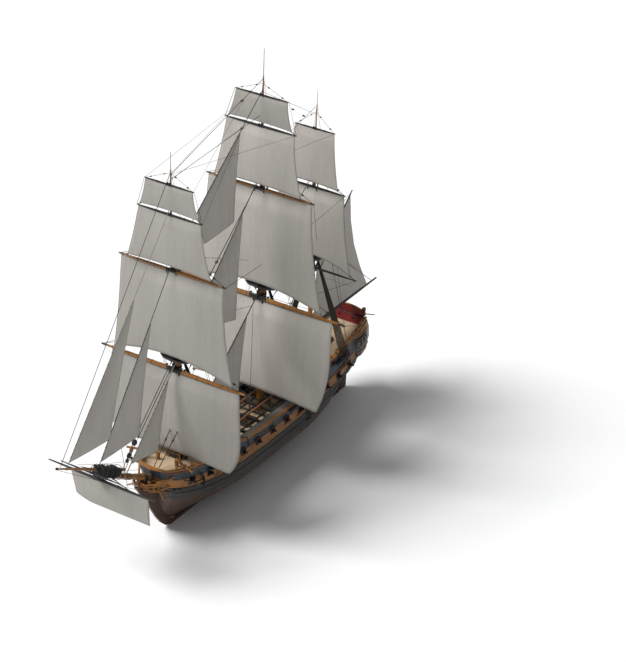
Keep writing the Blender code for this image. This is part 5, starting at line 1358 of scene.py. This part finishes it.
# Head: scrolls, hawse holes and the figurehead
scroll = Shape()


def spiral(centre, radius, turns, thick=0.05):
    points = []
    for i in range(int(16 * turns) + 1):
        a = 2 * math.pi * i / 16
        r = radius * (1 - 0.75 * i / (16 * turns))
        points.append(Vector(centre) + vec(r * math.cos(a), 0, r * math.sin(a)))
    scroll.tube(points, [thick * (1 - 0.5 * i / len(points)) for i in range(len(points))], 6)


for side in (1, -1):
    spiral((21.05, side * 1.52, 2.62), 0.34, 1.8)
    spiral((23.35, side * 0.44, 3.55), 0.20, 1.6, 0.035)
    spiral((24.05, side * 0.20, 3.72), 0.22, 1.6, 0.035)
    spiral((20.75, side * 1.86, 4.02), 0.24, 1.5, 0.04)
    for x, y, z in ((21.15, 1.60, 3.10), (21.7, 1.28, 3.05), (22.3, 0.95, 3.12), (22.85, 0.66, 3.32)):
        scroll.egg((x, side * y, z), (0.07, 0.06, 0.34), None, 6, 8)
    start = on_side(20.15, 1.75, side, 0.05)
    scroll.tube([start, vec(21.3, side * 0.55, 1.95), vec(22.4, side * 0.24, 2.35)], [0.09, 0.08, 0.06], 6)
scroll.made("head_scrolls", ochre)
hawse = Shape()
for side in (1, -1):
    for x in (20.05, 19.55):
        at = on_side(x, 2.15, side, 0.02)
        near = on_side(x, 2.15, side, 1.02)
        if at is not None:
            hawse.ring(at, near - at, 0.20, 0.055, 14, 6)
            hawse.egg(at, (0.14, 0.14, 0.14), None, 6, 10)
hawse.made("hawse_holes", black)

face = Shape()
face.egg((24.62, 0, 4.99), (0.125, 0.105, 0.165), None, 12, 16)
face.egg((24.60, 0, 4.87), (0.095, 0.080, 0.085), None, 8, 12)
face.egg((24.745, 0, 4.975), (0.030, 0.020, 0.042), None, 6, 8)
for side in (1, -1):
    face.egg((24.715, side * 0.042, 5.02), (0.022, 0.028, 0.012), None, 5, 8)
    face.egg((24.690, side * 0.055, 4.93), (0.045, 0.035, 0.04), None, 6, 8)
face.egg((24.725, 0, 4.905), (0.022, 0.032, 0.010), None, 5, 8)
face.tube([(24.56, 0, 4.72), (24.58, 0, 4.88)], [0.075, 0.062], 10)
for side in (1, -1):
    arm = [(24.42, side * 0.19, 4.66), (24.47, side * 0.31, 4.46), (24.50, side * 0.28, 4.36),
           (24.67, side * 0.10, 4.40)]
    face.tube(arm, [0.070, 0.060, 0.055, 0.040], 8)
    face.egg((24.70, side * 0.07, 4.42), (0.055, 0.035, 0.045), None, 6, 8)
hair = Shape()
for i in range(26):
    a = math.pi * (0.28 + 1.44 * i / 25)
    top = vec(24.60 + 0.06 * math.cos(a), 0.06 * math.sin(a), 5.15)
    mid = vec(24.58 + 0.145 * math.cos(a), 0.135 * math.sin(a), 5.00)
    low = vec(24.53 + 0.15 * math.cos(a), 0.165 * math.sin(a), 4.72 + 0.03 * math.sin(5 * a))
    hair.tube([top, mid, low], [0.030, 0.034, 0.020], 5)
hair.egg((24.57, 0, 5.07), (0.12, 0.115, 0.11), None, 8, 12)
figure_robe = Shape()
spine = [(24.02, 3.98, 0.18), (24.20, 4.22, 0.24), (24.36, 4.45, 0.23), (24.47, 4.62, 0.20), (24.53, 4.74, 0.13),
         (24.56, 4.80, 0.085)]
robe_rows = []
for x, z, r in spine:
    row = []
    for a in angles(36, True):
        fold = 1 + 0.09 * math.sin(9 * a + 6 * z) * min(1.0, (4.85 - z) * 1.6)
        row.append(vec(x + 0.75 * r * fold * math.cos(a), r * fold * math.sin(a), z - 0.35 * r * fold * math.cos(a)))
    robe_rows.append(row)
figure_robe.strip(robe_rows)
for row, flip in ((robe_rows[0], False), (robe_rows[-1], True)):
    figure_robe.take(row[:-1], [tuple(range(36)) if flip else tuple(reversed(range(36)))])
figure_robe.tube([(24.44, 0.20, 4.60), (24.60, 0.0, 4.56), (24.44, -0.20, 4.60)], [0.05, 0.06, 0.05], 8)
for shape, part, material in ((face, "face", skin), (hair, "hair", brown), (figure_robe, "robe", robe)):
    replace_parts(shape.made(f"figurehead_{part}", material), "figurehead")

# Catheads' bands and tackles, with the anchors hung from them and lashed to the side
cats = Shape()
cat_wood = Shape()
for side in (1, -1):
    cat_y = on_side(19.2, 4.45, 1).y
    tip = vec(19.95, side * (cat_y + 1.35), 5.33)
    foot = vec(18.4, side * (cat_y - 1.9), 4.98)
    out = (tip - foot).normalized()
    for t in (0.30, 0.58, 0.82):
        at = foot.lerp(tip, t)
        cats.ring(at, out, 0.225, 0.030, 4, 4)
    fall = tip - out * 0.55
    cats.ring(fall + vec(z=-0.02), vec(-out.y, out.x, 0), 0.13, 0.04, 12, 5)
    rope(cats, [fall + vec(z=-0.14), fall + vec(z=-1.3)], 0.03)
    block(cats, fall + vec(z=-1.42), (0, 0, 1), 0.20)
    # Anchor, catted against the side
    base = fall + vec(z=-1.72)
    cats.ring(base, (1, 0, 0), 0.16, 0.035, 14, 5)
    side_low = on_side(16.9, 2.75, side, 0.16)
    shank = base + vec(z=-0.12)
    cats.tube([shank, side_low], [0.075, 0.095], 8)
    axis = (side_low - shank).normalized()
    arm = vec(0.25, 0, 1.0)
    for s in (1, -1):
        mid = side_low + arm * (0.55 * s) - axis * 0.12
        end = side_low + arm * (0.80 * s) - axis * 0.42
        cats.tube([side_low, mid, end], [0.10, 0.08, 0.05], 6)
        cats.brick(end + axis * 0.02, (0.30, 0.05, 0.34))
    stock = base + axis * 0.45
    cat_wood.brick(stock, (0.20, 1.9, 0.20), Matrix.Rotation(0.2 * side, 3, "Z"), 0.3)
cats.made("cathead_tackle", iron)
cat_wood.made("anchor_stocks", brown, smooth=False)

# ---- decks
fittings = Shape()
dark_fittings = Shape()
ochre_fittings = Shape()
gratings = Shape()


def fife(mast_at, deck, wide, long, high=1.0):
    """Rails with pins on posts round a mast's foot."""
    for x in (mast_at - long, mast_at + long):
        for y in (-wide, wide):
            ochre_fittings.brick((x, y, deck + high / 2), (0.16, 0.16, high))
            ochre_fittings.brick((x, y, deck + high + 0.05), (0.21, 0.21, 0.12), bevel=0.5)
        ochre_fittings.brick((x, 0, deck + 0.78 * high), (0.10, 2 * wide, 0.12))
        for i in range(7):
            y = -wide * 0.8 + 1.6 * wide * i / 6
            dark_fittings.tube([(x, y, deck + 0.62 * high), (x, y, deck + 0.98 * high)], [0.022, 0.034], 6)
            dark_fittings.ring((x + 0.10, y, deck + 0.52 * high), (1, 0, 0), 0.10, 0.035, 10, 4)


fife(16.35, forecastle_at(16.3), 0.85, 0.85)
fife(-0.05, gun_deck_at(0) + 0.02, 0.90, 0.85, 1.25)
fife(-10.4, quarterdeck_at(-10.4), 0.65, 0.62)
# Topsail bitts and the cluster of blocks and coils at the fore mast's foot
for y in (-0.62, 0.62):
    dark_fittings.brick((16.85, y, forecastle_at(16.8) + 0.32), (0.18, 0.18, 0.64))
dark_fittings.brick((16.85, 0, forecastle_at(16.8) + 0.50), (0.12, 1.5, 0.14))
for i, (x, y) in enumerate(((16.75, -0.55), (16.8, -0.1), (16.75, 0.35), (16.6, 0.75), (16.3, 1.15), (16.4, -1.15),
                            (15.8, 1.0), (15.6, -1.0), (15.3, 0.1), (15.3, -0.5), (15.4, 0.6))):
    block(dark_fittings, (x, y, forecastle_at(x) + 0.32 + 0.09 * (i % 3)), (0.2, 0.3, 1), 0.19)
    for up, wide, thick in ((0.07, 0.19, 0.05), (0.14, 0.15, 0.045)):
        fittings.ring((x + 0.1, y - 0.05, forecastle_at(x) + up), (0, 0, 1), wide, thick, 14, 5)

# Belfry's roof and bell between the posts
BELFRY_X = 12.6
bell_deck = forecastle_at(BELFRY_X)
roof = [(-0.42, 1.08), (-0.30, 1.30), (0.0, 1.42), (0.30, 1.30), (0.42, 1.08)]
roof_faces = [(i, (i + 1) % 5, 5 + (i + 1) % 5, 5 + i) for i in range(5)] + [(4, 3, 2, 1, 0), (5, 6, 7, 8, 9)]
dark_fittings.take([(BELFRY_X + x, y, bell_deck + z) for y in (-0.95, 0.95) for x, z in roof], roof_faces)
bell = Shape()
profile = [(0.02, 0.0), (0.10, -0.03), (0.13, -0.15), (0.16, -0.30), (0.24, -0.38), (0.22, -0.40), (0.14, -0.30),
           (0.02, -0.06)]
rows = []
for r, z in profile:
    rows.append([vec(BELFRY_X + r * math.cos(a), r * math.sin(a), bell_deck + 0.80 + z) for a in angles(18, True)])
bell.strip(rows)
bell.tube([(BELFRY_X, 0, bell_deck + 0.74), (BELFRY_X, 0, bell_deck + 0.92)], 0.03, 6)
bell.made("ship_bell", brass)

# Carlings from beam to beam over the waist
for x_aft, x_fore in ((-1.2, 1.6), (1.6, 4.4), (4.4, 7.2)):
    for y in (-2.3, -0.55, 0.55, 2.3):
        dark_fittings.brick((0.5 * (x_aft + x_fore), y, 3.47), (x_fore - x_aft - 0.2, 0.16, 0.18))
    dark_fittings.brick((0.5 * (x_aft + x_fore), 0.0, 3.47), (0.16, 5.6, 0.18))


def hatch(x, y, z, long, wide, bars=True, high=0.22):
    """A hatch's coaming, with a grating in it."""
    for s in (1, -1):
        fittings.brick((x, y + s * (wide / 2), z + high / 2), (long + 0.12, 0.12, high))
        fittings.brick((x + s * (long / 2), y, z + high / 2), (0.12, wide, high))
    if bars:
        count = int(wide / 0.17)
        for i in range(1, count):
            gratings.brick((x, y - wide / 2 + wide * i / count, z + high - 0.03), (long - 0.10, 0.06, 0.06))
        count = int(long / 0.17)
        for i in range(1, count):
            gratings.brick((x - long / 2 + long * i / count, y, z + high - 0.045), (0.06, wide - 0.10, 0.05))


hatch(14.4, 0.0, forecastle_at(14.4), 1.5, 1.3)
hatch(3.0, 0.0, gun_deck_at(3.0) + 0.01, 2.2, 2.0)
hatch(6.2, 0.0, gun_deck_at(6.2) + 0.01, 1.8, 1.8)
hatch(-5.9, 0.0, quarterdeck_at(-5.9) + 0.01, 1.8, 1.5)
SKYLIGHT_X = -13.9
roof_z = quarterdeck_at(SKYLIGHT_X)
hatch(SKYLIGHT_X, 0.0, roof_z + 0.02, 2.0, 1.5, False, 0.45)
glass_panes = Shape()
for s in (1, -1):
    slope = Matrix.Rotation(-0.35 * s, 3, "X")
    for i in range(4):
        ochre_fittings.brick((-14.7 + 0.53 * i, s * 0.38, roof_z + 0.55), (0.06, 0.82, 0.05), slope)
    glass_panes.brick((SKYLIGHT_X, s * 0.38, roof_z + 0.52), (1.9, 0.78, 0.03), slope)
glass_panes.made("skylight_panes", glass, smooth=False)
# Binnacle before the wheel, and ladders down to the waist
fittings.brick((-7.3, 0, quarterdeck_at(-7.3) + 0.5), (0.5, 1.0, 1.0))
fittings.brick((-7.3, 0, quarterdeck_at(-7.3) + 1.04), (0.6, 1.1, 0.08))
for x, deck_z, lean in ((-3.2, quarterdeck_at(-3.5), 1), (9.45, forecastle_at(9.7), -1)):
    for side in (1, -1):
        floor_z = gun_deck_at(x) + 0.02
        foot = vec(x + 1.15 * lean, side * 2.05, floor_z)
        head = vec(x + 0.12 * lean, side * 2.05, deck_z - 0.05)
        for s in (-0.42, 0.42):
            fittings.tube([foot + vec(0, s, 0.04), head + vec(y=s)], 0.055, 4)
        for i in range(1, 8):
            fittings.brick(foot.lerp(head, i / 8), (0.26, 0.80, 0.05))
# Breast rails at the decks' edges, with ochre posts
for x, deck_z in ((-3.55, quarterdeck_at(-3.6)), (9.75, forecastle_at(9.8))):
    for y in (-3.2, -1.5, 0.0, 1.5, 3.2):
        ochre_fittings.brick((x, y, deck_z + 0.46), (0.14, 0.14, 0.92))
    ochre_fittings.tube([(x, -3.6, deck_z + 0.95), (x, 3.6, deck_z + 0.95)], 0.085, 6)
fittings.made("deck_fittings", brown, smooth=False)
dark_fittings.made("dark_deck_fittings", black, smooth=False)
ochre_fittings.made("ochre_deck_fittings", ochre, smooth=False)
gratings.made("hatch_gratings", brown, smooth=False)

# Wooldings on the lower masts
hoops = Shape()
for mast, low in (("fore", forecastle_at(16.2)), ("main", gun_deck_at(0.0)), ("mizzen", quarterdeck_at(-10.2))):
    top, r0 = MASTS[mast].top, MASTS[mast].radius
    for k in range(7):
        z = low + 1.6 + (top - low - 3.0) * k / 6
        r = r0 * (1 - 0.14 * (z - low) / (top - low))
        for step in (-0.09, 0.0, 0.09):
            hoops.ring((mast_x(mast, z), 0, z + step), (MASTS[mast].lean, 0, 1), r + 0.015, 0.035, 20, 4)
hoops.made("mast_wooldings", black)

# ---- stern
TAFFRAIL_X = -19.53
stern = Shape()
panes = Shape()
bars = Shape()


def on_gallery(x, z, side):
    hit, normal = GALLERIES.ray_cast(vec(x, side * OUTSIDE, z) * SCALE, vec(y=-side))[:2]
    return (hit / SCALE, normal) if hit is not None else (None, None)


def on_stern(y, z):
    hit = GALLERIES.ray_cast(vec(ASTERN, y, z) * SCALE, vec(x=1))[0]
    return None if hit is None else hit / SCALE


def facing(way):
    """The turn that lays a brick's Y axis along a direction in plan."""
    return Matrix.Rotation(math.atan2(-way.x, way.y), 3, "Z")


def window(at, normal, wide, high, rows=3, cols=2):
    """A pane with its frame and glazing bars, on a wall that faces the normal."""
    turn = facing(normal)
    out = turn @ vec(y=1)
    panes.brick(at + out * 0.015, (wide, 0.05, high), turn)
    for s in (-1, 1):
        stern.brick(at + turn @ vec(s * (wide / 2 + 0.03), 0.03, 0), (0.08, 0.10, high + 0.14), turn)
        stern.brick(at + turn @ vec(0, 0.03, s * (high / 2 + 0.03)), (wide + 0.14, 0.10, 0.08), turn)
    for i in range(1, cols):
        bars.brick(at + turn @ vec(-wide / 2 + wide * i / cols, 0.05, 0), (0.03, 0.04, high), turn)
    for i in range(1, rows):
        bars.brick(at + turn @ vec(0, 0.05, -high / 2 + high * i / rows), (wide, 0.04, 0.03), turn)


slate_panels = Shape()
for side in (1, -1):
    for x in (-15.85, -16.75, -17.65):
        z = 4.55 + 0.07 * (-15.1 - x)
        at, normal = on_gallery(x, z, side)
        if at is None:
            continue
        flat = vec(normal.x, normal.y, 0).normalized()
        slate_panels.brick(at, (0.88, 0.05, 1.5), facing(flat))
        window(at + flat * 0.03, flat, 0.50, 0.80)
    for level, size in ((3.62, 0.09), (5.52, 0.09), (2.62, 0.07)):
        path = []
        for i in range(16):
            x = -15.25 - 3.3 * i / 15
            at, normal = on_gallery(x, level + 0.055 * (-15.1 - x), side)
            if at is not None and abs(at.y) > 1.8:
                path.append(at + vec(y=side * 0.02))
        if len(path) > 2:
            stern.tube(path, size, 6)
    for k in range(9):
        x = -15.5 - 0.36 * k
        at, normal = on_gallery(x, 3.12 + 0.055 * (-15.1 - x), side)
        if at is not None:
            stern.egg(at, (0.10, 0.07, 0.26), None, 6, 8)
crown = [(-2.5, 6.98), (-2.0, 7.25), (-1.0, 7.48), (0.0, 7.55), (1.0, 7.48), (2.0, 7.25), (2.5, 6.98)]
stern.tube([(TAFFRAIL_X, y, z + 0.05) for y, z in crown], 0.10, 8)
for y in (-2.0, -1.2, -0.4, 0.4, 1.2, 2.0):
    at = on_stern(y, 4.75)
    if at is not None:
        window(at + vec(x=-0.03), vec(x=-1), 0.52, 0.95)
    stern.egg((-19.66, y, 6.6), (0.05, 0.16, 0.22), None, 6, 8)
for level in (4.05, 5.55):
    path = [on_stern(-2.35 + 4.7 * i / 12, level) for i in range(13)]
    stern.tube([at + vec(x=-0.02) for at in path if at is not None], 0.08, 6)
lamps = Shape()
for side in (1, -1):
    at = vec(TAFFRAIL_X, side * 2.28, 6.95)
    for up, r in ((0.20, 0.19), (0.40, 0.215), (0.62, 0.24)):
        lamps.ring(at + vec(z=up), (0, 0, 1), r, 0.022, 14, 5)
    for a in angles(6):
        way = vec(math.cos(a), math.sin(a), 0)
        lamps.tube([at + way * 0.18 + vec(z=0.2), at + way * 0.235 + vec(z=0.63)], 0.016, 4)
    stern.egg(at + vec(z=0.80), (0.07, 0.07, 0.10), None, 6, 8)
    stern.egg(at + vec(z=0.70), (0.25, 0.25, 0.08), None, 6, 12)
    lamps.tube([at + vec(z=-0.55), at + vec(z=0.12)], 0.06, 6)
lamps.made("lantern_frames", black)
stern.made("stern_mouldings", ochre)
panes.made("stern_windows", glass, smooth=False)
bars.made("glazing_bars", ochre, smooth=False)
slate_panels.made("gallery_panels", slate, smooth=False)

# ---- floor
FLOOR_REACH = 400
floor = Shape()
corners = [(x * FLOOR_REACH, y * FLOOR_REACH, KEEL_Z) for x, y in ((-1, -1), (1, -1), (1, 1), (-1, 1))]
floor.take(corners, [(0, 1, 2, 3)])
ground = Paint("floor", 0.9)
ground.feed(ground.shader["Base Color"], ground.shade((1.0, 1.0, 1.0), 0.01, 0.2))
floor_piece = floor.made("floor", ground.made, None)
